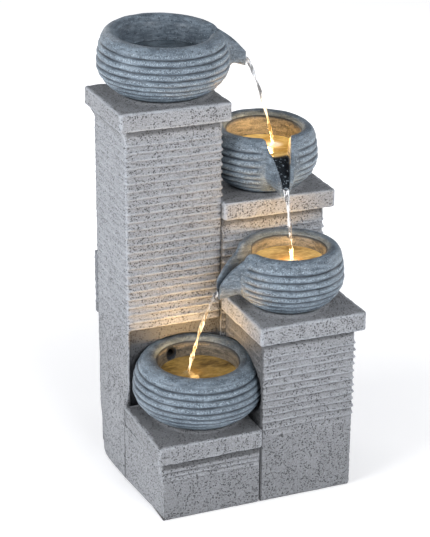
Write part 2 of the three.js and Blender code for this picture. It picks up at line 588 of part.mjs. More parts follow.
function makeLeads() {
  const [second, thirdUpper, thirdLower, low] = CROSSINGS;
  const lead = (name, points, steps) => {
    place(assembly, name, tube(points, LEAD.radius, LEAD.sides, steps), RUBBER);
  };
  const straight = WALL + GROMMET.lip + 4; // run of lead on each side of a crossing
  const [sx, sy, sz] = ledUnder('second');
  lead('led_lead_second', [
    [sx, sy, sz], [sx, sy, sz - 8], [sx - 12, second.y - 8, second.z], [sx - 30, second.y, second.z],
    [second.x, second.y, second.z], [boxRight + 20, second.y, second.z], [boxRight + GAP, second.y, second.z],
  ], 16);
  const [tx, ty, tz] = ledUnder('third');
  lead('led_lead_third', [
    [tx, ty, tz], [tx, ty, tz - 12], [tx, ty + 4, thirdLower.z + 15],
    [tx, ty + 16, thirdLower.z + 3], [tx, thirdLower.y - straight, thirdLower.z], [tx, thirdLower.y, thirdLower.z],
    [tx, thirdLower.y + straight, thirdLower.z], [tx - 4, thirdUpper.y - 22, thirdLower.z + 30],
    [tx - 8, thirdUpper.y - 4, thirdUpper.z - 30], [thirdUpper.x + straight + 12, thirdUpper.y, thirdUpper.z - 1],
    [thirdUpper.x + straight, thirdUpper.y, thirdUpper.z], [thirdUpper.x - straight, thirdUpper.y, thirdUpper.z],
    [boxRight + GAP, thirdUpper.y, thirdUpper.z],
  ], 40);
  const [bx, by, bz] = ledUnder('bottom');
  const rise = BOX.y + 6;
  lead('led_lead_bottom', [
    [bx, by, bz], [bx, by, bz - 8], [low.x + 12, low.y - 34, low.z], [low.x, low.y - 16, low.z],
    [low.x, low.y, low.z], [low.x, low.y + 24, low.z], [low.x, rise - 6, low.z + 8], [low.x, rise, low.z + 26],
    [low.x, rise, boxZ - 40], [low.x, rise, boxZ - GAP],
  ], 26);
  const side = pumpSpot.x - PUMP.width / 2 - GAP;
  const up = BOX.x + 13;
  const back = BOX.y + 22;
  lead('pump_lead', [
    [side, pumpSpot.y + 22, pumpSpot.z + 12], [side - 8, pumpSpot.y + 22, pumpSpot.z + 12],
    [up, back, pumpSpot.z + 26], [up, back, pumpSpot.z + 60], [up, back, boxZ - 40], [up, back, boxZ - GAP],
  ], 18);
  const out = BASE_DEPTH + GLAND.out - 2;
  const glandIn = BASE_DEPTH - WALL - GLAND.nutHigh - 4;
  const drop = BOX.y + BOX.depth - 6;
  lead('supply_lead', [
    [GLAND.x, drop, boxZ - GAP], [GLAND.x, drop, boxZ - 30], [GLAND.x, drop - 4, glandZ + 45],
    [GLAND.x, drop - 9, glandZ + 22], [GLAND.x, drop - 10, glandZ + 6], [GLAND.x, glandIn - 5, glandZ],
    [GLAND.x, glandIn, glandZ], [GLAND.x, BASE_DEPTH, glandZ], [GLAND.x, out, glandZ],
  ], 22);
  for (const c of CROSSINGS) {
    const long = WALL + GROMMET.lip;
    const sleeve = ring(GROMMET.radius, GROMMET.bore, -long, long, 16);
    const solid = c.axis === 'x' ? alongX(sleeve) : alongY(sleeve);
    place(assembly, `lead_grommet_${c.name}`, solid, RUBBER, c.x, c.y, c.z);
  }
}

function makeJunctionBox() {
  const { width, depth, height, wall, lid } = BOX;
  const group = groupAt(BOX.x, BOX.y, boxZ);
  const tub = block(0, width, 0, depth, 0, height).subtract(block(wall, width - wall, wall, depth - wall, wall, height + 5));
  place(group, 'junction_box', tub, GREY_PLASTIC);
  const lip = block(wall + GAP, width - wall - GAP, wall + GAP, depth - wall - GAP, height - 3, height + GAP + 1);
  place(group, 'junction_lid', block(0, width, 0, depth, height + GAP, height + GAP + lid).add(lip), GREY_PLASTIC);
}

makeColumns();
makeCaps();
makeBowls();
makeDoor();
makeGland();
makeOverflow();
makePump();
makeRiser();
makeInlet();
makeLights();
makeJunctionBox();
makeLeads();

// ---------------------------------------------------------------- origin at the middle of the underside
assembly.updateMatrixWorld(true);
const box = new THREE.Box3().setFromObject(assembly, true);
assembly.position.set(-(box.min.x + box.max.x) / 2, -(box.min.y + box.max.y) / 2, -box.min.z);

const group = new THREE.Group();
group.add(assembly);

export default group;
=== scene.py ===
"""Looks of a tabletop water fountain: four cast columns under caps, four ribbed bowls, and the water."""

import json
import math

import bmesh
import bpy
from mathutils import Matrix, Vector, noise


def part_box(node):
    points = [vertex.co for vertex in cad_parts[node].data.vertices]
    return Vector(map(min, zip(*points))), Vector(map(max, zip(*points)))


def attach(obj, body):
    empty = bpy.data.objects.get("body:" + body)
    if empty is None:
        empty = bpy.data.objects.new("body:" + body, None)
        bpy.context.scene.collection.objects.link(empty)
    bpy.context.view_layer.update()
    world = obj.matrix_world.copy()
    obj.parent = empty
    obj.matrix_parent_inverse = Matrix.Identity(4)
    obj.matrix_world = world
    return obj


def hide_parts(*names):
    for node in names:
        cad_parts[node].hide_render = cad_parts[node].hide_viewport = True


bl_info = {
    "name": "Cascading Bowl Fountain",
    "version": (1, 0, 0),
    "blender": (4, 5, 0),
    "location": "View3D > Sidebar > Fountain",
    "description": "Builds the looks of a four-bowl tabletop fountain round its frame",
    "category": "Object",
}

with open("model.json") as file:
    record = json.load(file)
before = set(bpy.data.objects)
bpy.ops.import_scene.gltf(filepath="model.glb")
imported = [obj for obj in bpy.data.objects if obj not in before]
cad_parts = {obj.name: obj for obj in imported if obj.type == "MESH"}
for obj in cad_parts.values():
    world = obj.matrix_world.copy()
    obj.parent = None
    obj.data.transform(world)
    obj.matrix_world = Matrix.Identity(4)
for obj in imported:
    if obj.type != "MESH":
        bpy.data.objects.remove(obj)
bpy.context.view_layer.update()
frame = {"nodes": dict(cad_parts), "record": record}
MM = 0.001

# Which cap and column carry each bowl, and which bowl its spout feeds.
CARRIED_BY = {"top": "tall", "second": "second", "third": "third", "bottom": "low"}
FEEDS = {"top": "second", "second": "third", "third": "bottom"}


# ---------------------------------------------------------------- sizes and colours a user would change
def length(name, description, default):
    return bpy.props.FloatProperty(name=name, description=description, default=default, unit="LENGTH")


def tint(name, description, default):
    return bpy.props.FloatVectorProperty(name=name, description=description, default=default, subtype="COLOR")


class StoneSettings(bpy.types.PropertyGroup):
    """Relief and colour of the cast columns, caps and door."""

    rib_pitch: length("Rib Pitch", "Height from one rib of a column to the next", 9.4 * MM)
    rib_height: length("Rib Height", "How far a rib stands out of the column", 1.9 * MM)
    wall: length("Wall", "Thickness of the castings", 8.0 * MM)
    edge: length("Edge", "Rounding of the columns' upright edges", 2.2 * MM)
    flare: length("Foot Flare", "How far the tall column's left side spreads at its foot", 6.0 * MM)
    colour: tint("Stone", "Body colour of the castings", (0.335, 0.345, 0.365))
    # Painted highlight: the ribs take this paler colour as if they caught the light; the rubbed edges take it
    # too.
    highlight_and_rubbed_colour: tint("Rubbed Stone", "Colour of the ribs and edges that are rubbed", (0.48, 0.515, 0.57))
    pore_colour: tint("Pores", "Colour inside the pores", (0.06, 0.06, 0.065))


class BowlSettings(bpy.types.PropertyGroup):
    """Shape and colour of the bowls."""

    rib_pitch: length("Rib Pitch", "Distance from groove to groove along a bowl's side", 8.4 * MM)
    groove_depth: length("Groove Depth", "Depth of the grooves between ribs", 2.5 * MM)
    wall: length("Wall", "Thickness of a bowl", 9.0 * MM)
    spout_reach: length("Spout Reach", "How far a spout stands out past its bowl", 19.0 * MM)
    colour: tint("Wash", "Blue-grey body colour", (0.052, 0.075, 0.103))
    light_colour: tint("Rubbed Wash", "Colour on the crests of the ribs", (0.33, 0.41, 0.485))
    groove_colour: tint("Groove", "Colour at the bottom of the grooves", (0.014, 0.021, 0.032))


class WaterSettings(bpy.types.PropertyGroup):
    """Water levels, streams and the lamps under them."""

    level_top: length("Top Level", "Water's depth below the top bowl's rim", 24.0 * MM)
    level_second: length("Second Level", "Water's depth below the second bowl's rim", 24.0 * MM)
    level_third: length("Third Level", "Water's depth below the third bowl's rim", 17.0 * MM)
    level_bottom: length("Bottom Level", "Water's depth below the bottom bowl's rim", 19.5 * MM)
    stream_radius: length("Stream Radius", "Half the width of a falling stream", 2.8 * MM)
    glow: tint("Glow", "Colour of the lamps' light", (1.0, 0.60, 0.22))
    lamp_power: bpy.props.FloatProperty(
        name="Lamp Power", description="Power of the light that leaves each lit bowl", default=0.32,
        unit="POWER")


# ---------------------------------------------------------------- materials
class Wire:
    """A socket of a material's nodes. Arithmetic on it adds the Math nodes that do the sum."""

    def __init__(self, tree, socket=None):
        self.tree = tree
        self.socket = socket

    def node(self, kind, settings, sockets, output=0):
        """Adds a node: first its settings, then a value or a wire for each socket."""
        made = self.tree.nodes.new(kind)
        for key, value in settings.items():
            setattr(made, key, value)
        for key, value in sockets.items():
            if isinstance(value, Wire):
                self.tree.links.new(value.socket, made.inputs[key])
            else:
                made.inputs[key].default_value = value
        return Wire(self.tree, made.outputs[output])

    def sum(self, operation, a, b):
        return self.node("ShaderNodeMath", {"operation": operation}, {0: a, 1: b})

    def __add__(self, other):
        return self.sum("ADD", self, other)

    def __mul__(self, other):
        return self.sum("MULTIPLY", self, other)

    def __sub__(self, other):
        return self.sum("SUBTRACT", self, other)

    def __rsub__(self, other):
        return self.sum("SUBTRACT", other, self)

    __radd__ = __add__
    __rmul__ = __mul__

    def between(self, low, high):
        """0 at low, 1 at high, smooth in between."""
        return self.node("ShaderNodeMapRange", {"interpolation_type": "SMOOTHSTEP"},
                         {"Value": self, "From Min": low, "From Max": high})

    def blend(self, a, b):
        """The colour a where this wire is 0, and b where it is 1."""
        return self.node("ShaderNodeMix", {"data_type": "RGBA"},
                         {"Factor": self, "A": opaque(a), "B": opaque(b)}, output=2)


def opaque(colour):
    return colour if isinstance(colour, Wire) else (*colour[:3], 1.0)


class Finish:
    """A material being made: its patterns read the piece's own coordinates."""

    def __init__(self, name, **fixed):
        self.material = bpy.data.materials.new(name)
        self.material.use_nodes = True
        self.tree = self.material.node_tree
        self.shader = self.tree.nodes["Principled BSDF"]
        self.start = Wire(self.tree)
        self.place = self.start.node("ShaderNodeTexCoord", {}, {}, output=3)
        for key, value in fixed.items():
            self.shader.inputs[key.replace("_", " ")].default_value = value

    def noise(self, scale, detail=3.0, rough=0.55, stretch=None):
        return self.start.node("ShaderNodeTexNoise", {}, {
            "Vector": self.stretched(stretch), "Scale": scale, "Detail": detail, "Roughness": rough})

    def cells(self, scale):
        return self.start.node(
            "ShaderNodeTexVoronoi", {"feature": "F1"}, {"Vector": self.place, "Scale": scale})

    def stretched(self, stretch):
        if stretch is None:
            return self.place
        return self.start.node("ShaderNodeMapping", {}, {"Vector": self.place, "Scale": stretch})

    def attribute(self, name):
        return self.start.node("ShaderNodeAttribute", {"attribute_name": name}, {}, output=2)

    def set(self, socket, wire):
        if isinstance(wire, Wire):
            self.tree.links.new(wire.socket, self.shader.inputs[socket])
        else:
            self.shader.inputs[socket].default_value = wire

    def bump(self, height, distance):
        self.set("Normal", self.start.node("ShaderNodeBump", {}, {
            "Height": height, "Distance": distance, "Strength": 1.0}))


def scaled(colour, factor):
    return tuple(min(1.0, c * factor) for c in colour)


def cast_stone(name, stone, darker=1.0):
    """Porous grey casting: round dark pores, ribs painted pale as highlights, pale rubbed edges, sharp grit,
    and painted shade in its hollows, corners and seams.
    """
    f = Finish(name, Specular_IOR_Level=0.2)
    grit = f.noise(760.0, 3.0, 0.8)
    patch = f.noise(24.0, 5.0, 0.6)
    relief = f.attribute("relief")
    where = f.noise(120.0, 2.0)
    pores = (1.0 - f.cells(400.0).between(0.24, 0.38)) * where.between(0.40, 0.50)
    specks = f.noise(640.0, 2.0, 0.6).between(0.61, 0.67)
    shelter = 1.0 - relief.between(0.25, 0.8)
    body = scaled(stone.colour, darker)
    # Pale colour for the grit, the ribs' painted highlights and the rubbed edges.
    light = scaled(stone.highlight_and_rubbed_colour, darker)
    dark = scaled(body, 0.66)
    # Dark colour of the painted shade.
    wash = scaled(body, 0.36)
    colour = (patch.between(0.3, 0.7) * 0.6).blend(body, scaled(body, 0.82))
    colour = (1.0 - grit.between(0.33, 0.5)).blend(colour, dark)
    colour = (grit.between(0.5, 0.68) * 0.6).blend(colour, light)
    # Painted highlight on the ribs, and the pale rubbed edges, where the relief is high.
    colour = (relief.between(0.15, 0.85) * 0.46).blend(colour, light)
    # Painted shade where the relief is below zero: under ribs, caps and overhangs, in hollows, corners and
    # seams, and towards the floor; the caps' tops are darker too.
    colour = (1.0 - relief.between(-1.0, 0.0)).blend(colour, wash)
    colour = (specks * 0.65).blend(colour, stone.pore_colour)
    colour = ((pores * 0.85) * (shelter * 0.75 + 0.25)).blend(colour, stone.pore_colour)
    f.set("Base Color", colour)
    f.set("Roughness", 0.82 + grit * 0.15)
    f.bump(grit * 0.6 + patch * 0.5 - pores * 1.0 - specks * 0.7, 1.3 * MM)
    return f.material


def bowl_wash(bowl):
    """Blue-grey wash, with painted highlights speckled pale on the crests and painted shade nearly black in
    the grooves.
    """
    f = Finish("Bowl Wash", Specular_IOR_Level=0.45, Coat_Roughness=0.35)
    crest = f.attribute("relief")
    cloud = f.noise(38.0, 5.0, 0.6)
    streak = f.noise(60.0, 5.0, 0.7, stretch=(1.0, 1.0, 5.0))
    grit = f.noise(780.0, 3.0, 0.75)
    dots = f.noise(420.0, 2.0, 0.5).between(0.60, 0.67)
    veil = streak.between(0.35, 0.72) * 0.45 + cloud.between(0.4, 0.75) * 0.2
    colour = veil.blend(bowl.colour, bowl.light_colour)
    # Painted highlights: pale specks on the crests.
    colour = (crest.between(0.55, 1.0) * grit.between(0.45, 0.58) * 0.8).blend(colour, bowl.light_colour)
    # Painted shade: the grooves are nearly black.
    colour = (1.0 - crest.between(0.12, 0.7)).blend(colour, bowl.groove_colour)
    stain = 1.0 - crest.between(-1.0, -0.4)
    scale = streak.between(0.38, 0.62) * 0.6 + grit.between(0.4, 0.6) * 0.4
    colour = stain.blend(colour, scale.blend((0.032, 0.03, 0.027), (0.20, 0.18, 0.145)))
    colour = (dots * 0.5).blend(colour, bowl.groove_colour)
    # Painted glints: bright specks of wet shine on the crests.
    crest_glints = grit.between(0.60, 0.68) * crest.between(0.25, 0.75) * 0.85
    colour = crest_glints.blend(colour, scaled(bowl.light_colour, 1.5))
    f.set("Base Color", colour)
    f.set("Roughness", 0.42 + grit * 0.3)
    f.set("Coat Weight", 0.15 + cloud * 0.2)
    f.bump(grit * 0.8 + streak * 0.5 - dots * 0.9, 1.0 * MM)
    return f.material


def moulded(name, colour, roughness=0.5):
    """Moulded plastic or rubber with a fine spark-eroded grain and faint scuffs."""
    f = Finish(name, Specular_IOR_Level=0.4)
    grain = f.noise(1500.0, 3.0, 0.6)
    scuff = f.noise(60.0, 6.0, 0.7, stretch=(1.0, 3.0, 1.0))
    light = tuple(c * 1.7 + 0.02 for c in colour)
    f.set("Base Color", (scuff.between(0.5, 0.8) * 0.5).blend(colour, light))
    f.set("Roughness", roughness - 0.08 + grain * 0.16)
    f.bump(grain * 0.6 + scuff * 0.4, 0.12 * MM)
    return f.material


def worked_metal(name, colour, roughness):
    """Turned or brushed metal with fine tool lines and dull patches."""
    f = Finish(name, Metallic=1.0)
    lines = f.noise(300.0, 4.0, 0.7, stretch=(1.0, 14.0, 1.0))
    dull = f.noise(45.0, 4.0, 0.6)
    f.set("Base Color", dull.between(0.35, 0.75).blend(scaled(colour, 0.6), colour))
    f.set("Roughness", roughness + dull * 0.2 + lines * 0.1)
    f.bump(lines, 0.05 * MM)
    return f.material


def soft_vinyl():
    """Cloudy clear hose with faint ridges."""
    f = Finish("Hose Vinyl", Specular_IOR_Level=0.5, Transmission_Weight=0.35)
    haze = f.noise(80.0, 4.0, 0.6)
    rings = f.noise(30.0, 2.0, 0.5, stretch=(1.0, 1.0, 9.0))
    f.set("Base Color", haze.between(0.35, 0.7).blend((0.42, 0.50, 0.48), (0.66, 0.72, 0.70)))
    f.set("Roughness", 0.25 + haze * 0.2)
    f.bump(rings, 0.2 * MM)
    return f.material


def ground_ceramic():
    """Pale, finely ground ceramic."""
    f = Finish("Ground Ceramic", Specular_IOR_Level=0.6)
    fine = f.noise(700.0, 3.0, 0.6)
    f.set("Base Color", fine.between(0.3, 0.7).blend((0.78, 0.77, 0.72), (0.9, 0.89, 0.86)))
    f.set("Roughness", 0.18 + fine * 0.1)
    f.bump(fine, 0.03 * MM)
    return f.material


def lit_lens(water):
    """A frosted lens that glows."""
    f = Finish("Lamp Lens", Specular_IOR_Level=0.5, Emission_Strength=3.0)
    frost = f.noise(420.0, 3.0, 0.6)
    f.set("Base Color", frost.between(0.3, 0.7).blend((0.9, 0.72, 0.42), (1.0, 0.86, 0.6)))
    f.set("Roughness", 0.3 + frost * 0.2)
    f.set("Emission Color", frost.between(0.2, 0.8).blend(water.glow, (1.0, 0.82, 0.5)))
    f.bump(frost, 0.1 * MM)
    return f.material


POOLS = {
    # How strongly each pool shines, and the colours of its deep and its well-lit water.
    "second": (0.8, (0.42, 0.22, 0.035), (0.95, 0.62, 0.20)),
    "third": (0.75, (0.24, 0.13, 0.03), (0.95, 0.62, 0.22)),
    "bottom": (0.4, (0.03, 0.017, 0.005), (0.66, 0.42, 0.12)),
}


def lit_water(name):
    """A pool over a lamp, its emission painting the lamp's glow: gold with darker swirls, a white-gold
    painted highlight under the stream, and dark water with painted glints down in the spout.
    """
    strength, deep, clear = POOLS[name]
    f = Finish(f"Lit Pool {name.title()}", IOR=1.33, Specular_IOR_Level=0.6, Emission_Strength=strength)
    swirl = f.noise(26.0, 4.0, 0.55, stretch=(1.0, 1.6, 1.0))
    shimmer = f.noise(120.0, 3.0, 0.6, stretch=(1.0, 2.2, 1.0))
    bright = f.attribute("bright")
    mixed = swirl.between(0.3, 0.7) * 0.65 + shimmer.between(0.4, 0.7) * 0.35
    colour = mixed.blend(deep, clear)
    colour = bright.between(0.25, 1.0).blend(colour, (1.0, 0.93, 0.70))
    glints = f.noise(300.0, 2.0).between(0.6, 0.66)
    spout = (glints * 0.6).blend((0.004, 0.004, 0.005), (0.5, 0.6, 0.7))
    colour = bright.between(-0.8, 0.0).blend(spout, colour)
    f.set("Emission Color", colour)
    f.set("Base Color", bright.between(-0.6, 0.0).blend((0.02, 0.028, 0.036), (0.06, 0.035, 0.01)))
    f.set("Roughness", 0.05 + shimmer * 0.06)
    f.set("Alpha", 0.55 + bright.between(-0.7, 0.0) * 0.4)
    f.bump(swirl * 0.7 + shimmer * 0.3, 0.9 * MM)
    return f.material


def dark_water():
    """The unlit top pool: dark blue-grey with soft reflections."""
    f = Finish("Dark Pool", IOR=1.33, Specular_IOR_Level=0.6)
    swirl = f.noise(30.0, 4.0, 0.55, stretch=(1.0, 1.6, 1.0))
    shimmer = f.noise(120.0, 3.0, 0.6, stretch=(1.0, 2.2, 1.0))
    f.set("Base Color", swirl.between(0.3, 0.75).blend((0.028, 0.04, 0.052), (0.16, 0.205, 0.245)))
    f.set("Roughness", 0.08 + shimmer * 0.1)
    f.set("Alpha", 0.9 + f.attribute("bright") * 0.05)
    f.bump(swirl * 0.7 + shimmer * 0.3, 0.9 * MM)
    return f.material


def falling_water():
    """A thin stream: clear, with bright and dark strands, its emission painting the strands' highlights and a
    golden glow near the lit bowl it falls into.
    """
    f = Finish(
        "Falling Water", IOR=1.33, Specular_IOR_Level=0.8, Transmission_Weight=0.35, Emission_Strength=0.8)
    strand = f.noise(260.0, 3.0, 0.6, stretch=(1.0, 1.0, 0.16))
    beads = f.noise(150.0, 2.0, 0.5)
    warm = f.attribute("bright")
    line = strand.between(0.44, 0.6)
    cold = (line * 0.8).blend((0.03, 0.033, 0.036), (0.40, 0.42, 0.45))
    hot = line.blend((0.55, 0.26, 0.03), (1.0, 0.84, 0.45))
    f.set("Base Color", line.blend((0.08, 0.08, 0.085), (0.80, 0.82, 0.86)))
    f.set("Emission Color", warm.between(0.0, 1.0).blend(cold, hot))
    f.set("Roughness", 0.04 + strand * 0.1)
    f.set("Alpha", 0.68 + line * 0.27)
    f.bump(strand * 0.6 + beads * 0.5, 1.2 * MM)
    return f.material


# ---------------------------------------------------------------- mesh helpers
def stations(low, high, step, *fixed):
    """Places from low to high about a step apart, with a stop at each fixed place."""
    stops = sorted({low, high, *(f for f in fixed if low < f < high)})
    places = [low]
    for a, b in zip(stops, stops[1:]):
        count = max(1, round((b - a) / step))
        places += [a + (b - a) * i / count for i in range(1, count + 1)]
    return places


def blank(*marks):
    """An empty mesh that keeps a number for each mark at each point."""
    bm = bmesh.new()
    for mark in marks:
        if mark == "row":
            bm.verts.layers.int.new(mark)
        else:
            bm.verts.layers.float.new(mark)
    return bm


def sheet(bm, xs, ys, z):
    """A flat grid with its lines at the given places."""
    across, along = len(xs) - 1, len(ys) - 1
    made = bmesh.ops.create_grid(bm, x_segments=across, y_segments=along, size=0.5)
    for v in made["verts"]:
        i = round((v.co.x + 0.5) * across)
        j = round((v.co.y + 0.5) * along)
        v.co = (xs[i], ys[j], z)


def extrude_loop(bm, loop):
    """Extrudes an edge loop in place and returns the new points and the new loop."""
    made = bmesh.ops.extrude_edge_only(bm, edges=loop)["geom"]
    points = [g for g in made if isinstance(g, bmesh.types.BMVert)]
    new = set(points)
    edges = [g for g in made if isinstance(g, bmesh.types.BMEdge) and g.verts[0] in new and g.verts[1] in new]
    return points, edges


TINY = 1e-7


def speckle(x, y, z, size):
    """Smooth noise from -1 to 1 whose lumps are about this size."""
    return noise.noise(Vector((x / size, y / size, z / size)))


def clamp(t):
    return min(1.0, max(0.0, t))


def smooth(t):
    """0 below 0, 1 above 1, and an S curve in between."""
    t = clamp(t)
    return t * t * (3.0 - 2.0 * t)


def piece_from(bm, name, material, slot, *replaced):
    """Makes the finished piece, and hides the CAD nodes that it stands for."""
    mesh = bpy.data.meshes.new(name)
    for f in bm.faces:
        f.smooth = True
    bm.to_mesh(mesh)
    bm.free()
    made = bpy.data.objects.new(name, mesh)
    bpy.context.scene.collection.objects.link(made)
    mesh.materials.append(material)
    if replaced:
        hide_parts(*replaced)
    return made


def settings():
    scene = bpy.context.scene
    return scene.fountain_stone, scene.fountain_bowl, scene.fountain_water


# ---------------------------------------------------------------- layout read from the frame
BOWL_FLOOR = 12 * MM  # height of a bowl's inner floor
FLAT_SHARE = 0.7  # the inner floor's flat part, as a share of the foot
LIP_DROP = 5 * MM  # how far the lip rounds down to the inner wall
LARGE_BOWL = 70 * MM  # a bowl of a larger radius than this stands on the larger foot
MOUTHS = {"top": 52 * MM, "second": 44 * MM, "third": 43 * MM, "bottom": 47.5 * MM}
# How steeply a bowl's height grows towards the back.
LEANS = {"top": 0.085, "second": 0.075, "third": 0.0, "bottom": 0.05}
BELLY_POWER = 1.62  # how squarely a bowl's lower side bulges


class Bowl:
    """Where a bowl stands and its outline, read from its CAD node."""

    def __init__(self, name):
        self.name = name
        low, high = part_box(f"bowl_{name}")
        a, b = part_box("inlet_seal" if name == "top" else f"led_seal_{name}")
        self.x = (a.x + b.x) / 2
        self.y = (a.y + b.y) / 2
        self.base = low.z
        self.height = high.z - low.z
        self.radius = min(self.x - low.x, high.x - self.x, self.y - low.y, high.y - self.y)
        self.foot = (41 if self.radius > LARGE_BOWL else 34) * MM
        self.mouth = MOUTHS[name]
        self.lip = 9 * MM
        self.lean = LEANS[name]
        self.mid = 0.47 * self.height

    def outside(self, z):
        """Outer radius at a height above the foot."""
        if z <= self.mid:
            t = 1 - z / self.mid
            belly = max(0.0, 1 - t ** BELLY_POWER) ** (1 / BELLY_POWER)
            return self.foot + (self.radius - self.foot) * belly
        rim = self.mouth + self.lip
        t = min(1.0, (z - self.mid) / (self.height - self.mid))
        return rim + (self.radius - rim) * math.sqrt(1 - t * t)

    def inside(self, z, wall):
        """Inner radius at a height above the foot."""
        lip = self.height - LIP_DROP
        wide = min(self.radius - wall, self.mouth - 4 * MM)
        if z <= self.mid:
            t = 1 - max(0.0, z - BOWL_FLOOR) / (self.mid - BOWL_FLOOR)
            flat = self.foot * FLAT_SHARE
            return flat + (wide - flat) * math.sqrt(max(0.0, 1 - t * t))
        t = min(1.0, (z - self.mid) / (lip - self.mid))
        return self.mouth + (wide - self.mouth) * math.sqrt(1 - t * t)

    def heading(self):
        """Direction of the spout, as an angle from +X."""
        if self.name not in FEEDS:
            return 0.0
        other = Bowl(FEEDS[self.name])
        return math.atan2(other.y - self.y, other.x - self.x)

    def level(self, water):
        return self.height - getattr(water, f"level_{self.name}")


# Heights of a spout's underside, its lips' tips and its trough's end above the bowl's foot.
UNDER_SPOUT = {
    "top": (26 * MM, 43 * MM, 33 * MM),
    "second": (11 * MM, 29 * MM, 17.5 * MM),
    "third": (13 * MM, 31 * MM, 19 * MM),
}
SPOUT_CROWDING = 0.72  # how strongly a bowl's columns of points gather at its spout


class Spout:
    """The wedge nose and open trough of a bowl, in the bowl's frame with +X along the spout."""

    root_half = 26 * MM
    tip_half = 9.5 * MM
    trough_root = 17 * MM
    trough_tip = 4.5 * MM

    def __init__(self, bowl, reach, wall):
        self.bowl = bowl
        self.under, self.tip_top, self.tip_floor = UNDER_SPOUT[bowl.name]
        self.tip = bowl.radius + reach
        self.root = bowl.radius * 0.5
        self.mouth_floor = bowl.height - 27 * MM
        self.wall_radius = bowl.inside(self.mouth_floor, wall)

    def nose_reach(self, angle, z):
        """How far the nose, which narrows towards its underside, reaches in this direction."""
        keel = 0.42 + 0.58 * smooth((z - self.under * 0.5) / (24 * MM))
        side = (self.root_half - self.tip_half) * keel / (self.tip - self.root)
        a = abs(angle)
        if a > math.radians(60):
            return 0.0
        flank = (self.root_half * keel + side * self.root) / (math.sin(a) + side * math.cos(a))
        front = self.tip / math.cos(a)
        # A soft minimum rounds the nose's upright corners.
        k = 3 * MM
        h = clamp(0.5 + 0.5 * (flank - front) / k)
        return flank * (1 - h) + front * h - k * h * (1 - h)

    def slope_reach(self, z):
        """How far the nose's sloping top reaches at this height."""
        rim = self.bowl.mouth + self.bowl.lip
        t = clamp((z - self.tip_top) / (self.bowl.height - self.tip_top))
        return self.tip + (rim - 3 * MM - self.tip) * t + 4 * MM * math.sin(math.pi * t)

    def share(self, x):
        """0 at the bowl's mouth and 1 at the spout's tip."""
        return clamp((x - self.bowl.mouth) / (self.tip - self.bowl.mouth))

    def trough_half(self, x):
        return self.trough_root + (self.trough_tip - self.trough_root) * self.share(x)

    def trough_floor(self, x):
        return self.mouth_floor + (self.tip_floor - self.mouth_floor) * self.share(x)

    def in_trough(self, radius, angle):
        """1 over the trough, 0 beside it."""
        x = radius * math.cos(angle)
        y = abs(radius * math.sin(angle))
        if x <= 0:
            return 0.0
        half = self.trough_half(x)
        return smooth((half + 0.9 * MM - y) / (1.8 * MM))


def crowded(angle):
    """Crowds the angles of a spun piece towards 0, where the spout is."""
    return angle - SPOUT_CROWDING * math.sin(angle)


# ---------------------------------------------------------------- columns
NICHE_DEPTH = 7 * MM
NICHE_TOP = 191 * MM
HOLLOW_GAP = 4 * MM  # between a bowl and the hollow round it
LOW_TOP = 74 * MM  # below this the low column hides the faces behind it
THIRD_TOP = 200 * MM
SECOND_TOP = 330 * MM
# Painted shade: the stone is painted darker from here down, as if the light fell off towards the floor.
DIM_BELOW = 260 * MM  # the stone grows darker from here down
COLUMN_STEP = 2.7 * MM  # between a column's upright lines of points
COLUMN_RISE = 1.25 * MM  # between its rows
INNER_RISE = 9 * MM  # between the rows of its inner wall


class Column:
    """A column's plain outline, read from its CAD node."""

    def __init__(self, name, stone):
        low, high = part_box(f"column_{name}")
        self.name = name
        self.x0 = low.x + (stone.flare if name == "tall" else 0.0)
        self.x1, self.y0, self.y1 = high.x, low.y, high.y
        self.z0, self.z1 = low.z, high.z


def niche(co, column):
    """Depth of the flat-topped recess in the tall column's front, behind the bottom bowl."""
    beside = smooth((co.x - column.x0 - 2 * MM) / (4 * MM))
    return NICHE_DEPTH * beside * smooth((NICHE_TOP - co.z) / (5 * MM))


def hollow_radius(bowl, z, extra):
    """Radius of the domed hollow in a column round a bowl, at a height in the frame, or 0 clear of it."""
    local = z - bowl.base
    gap = HOLLOW_GAP + extra
    top = bowl.height + 17 * MM + extra
    if local < -extra or local > top:
        return 0.0
    if local <= bowl.mid:
        return bowl.outside(max(0.0, local)) + gap
    t = (local - bowl.mid) / (top - bowl.mid)
    return (bowl.radius + gap) * math.sqrt(max(0.0, 1 - t ** 2.4)) ** 0.9


def hollow_out(co, column, bowls, extra):
    """Moves a point of a column's wall clear of the bowls that stand in it."""
    for bowl in bowls:
        if bowl.base > column.z1:
            continue
        reach = hollow_radius(bowl, co.z, extra)
        dx, dy = co.x - bowl.x, co.y - bowl.y
        if dx * dx + dy * dy >= reach * reach:
            continue
        if column.name == "third":
            co.x = bowl.x + math.sqrt(reach * reach - dy * dy)
        else:
            co.y = bowl.y + math.sqrt(reach * reach - dx * dx)


# Height at which each column's ribs have ended, and over how much height they fade out above it.
RIBS_END = {
    "tall": (184 * MM, 10 * MM),
    "second": (90 * MM, 30 * MM),
    "third": (78 * MM, 22 * MM),
    "low": (44 * MM, 10 * MM),
}


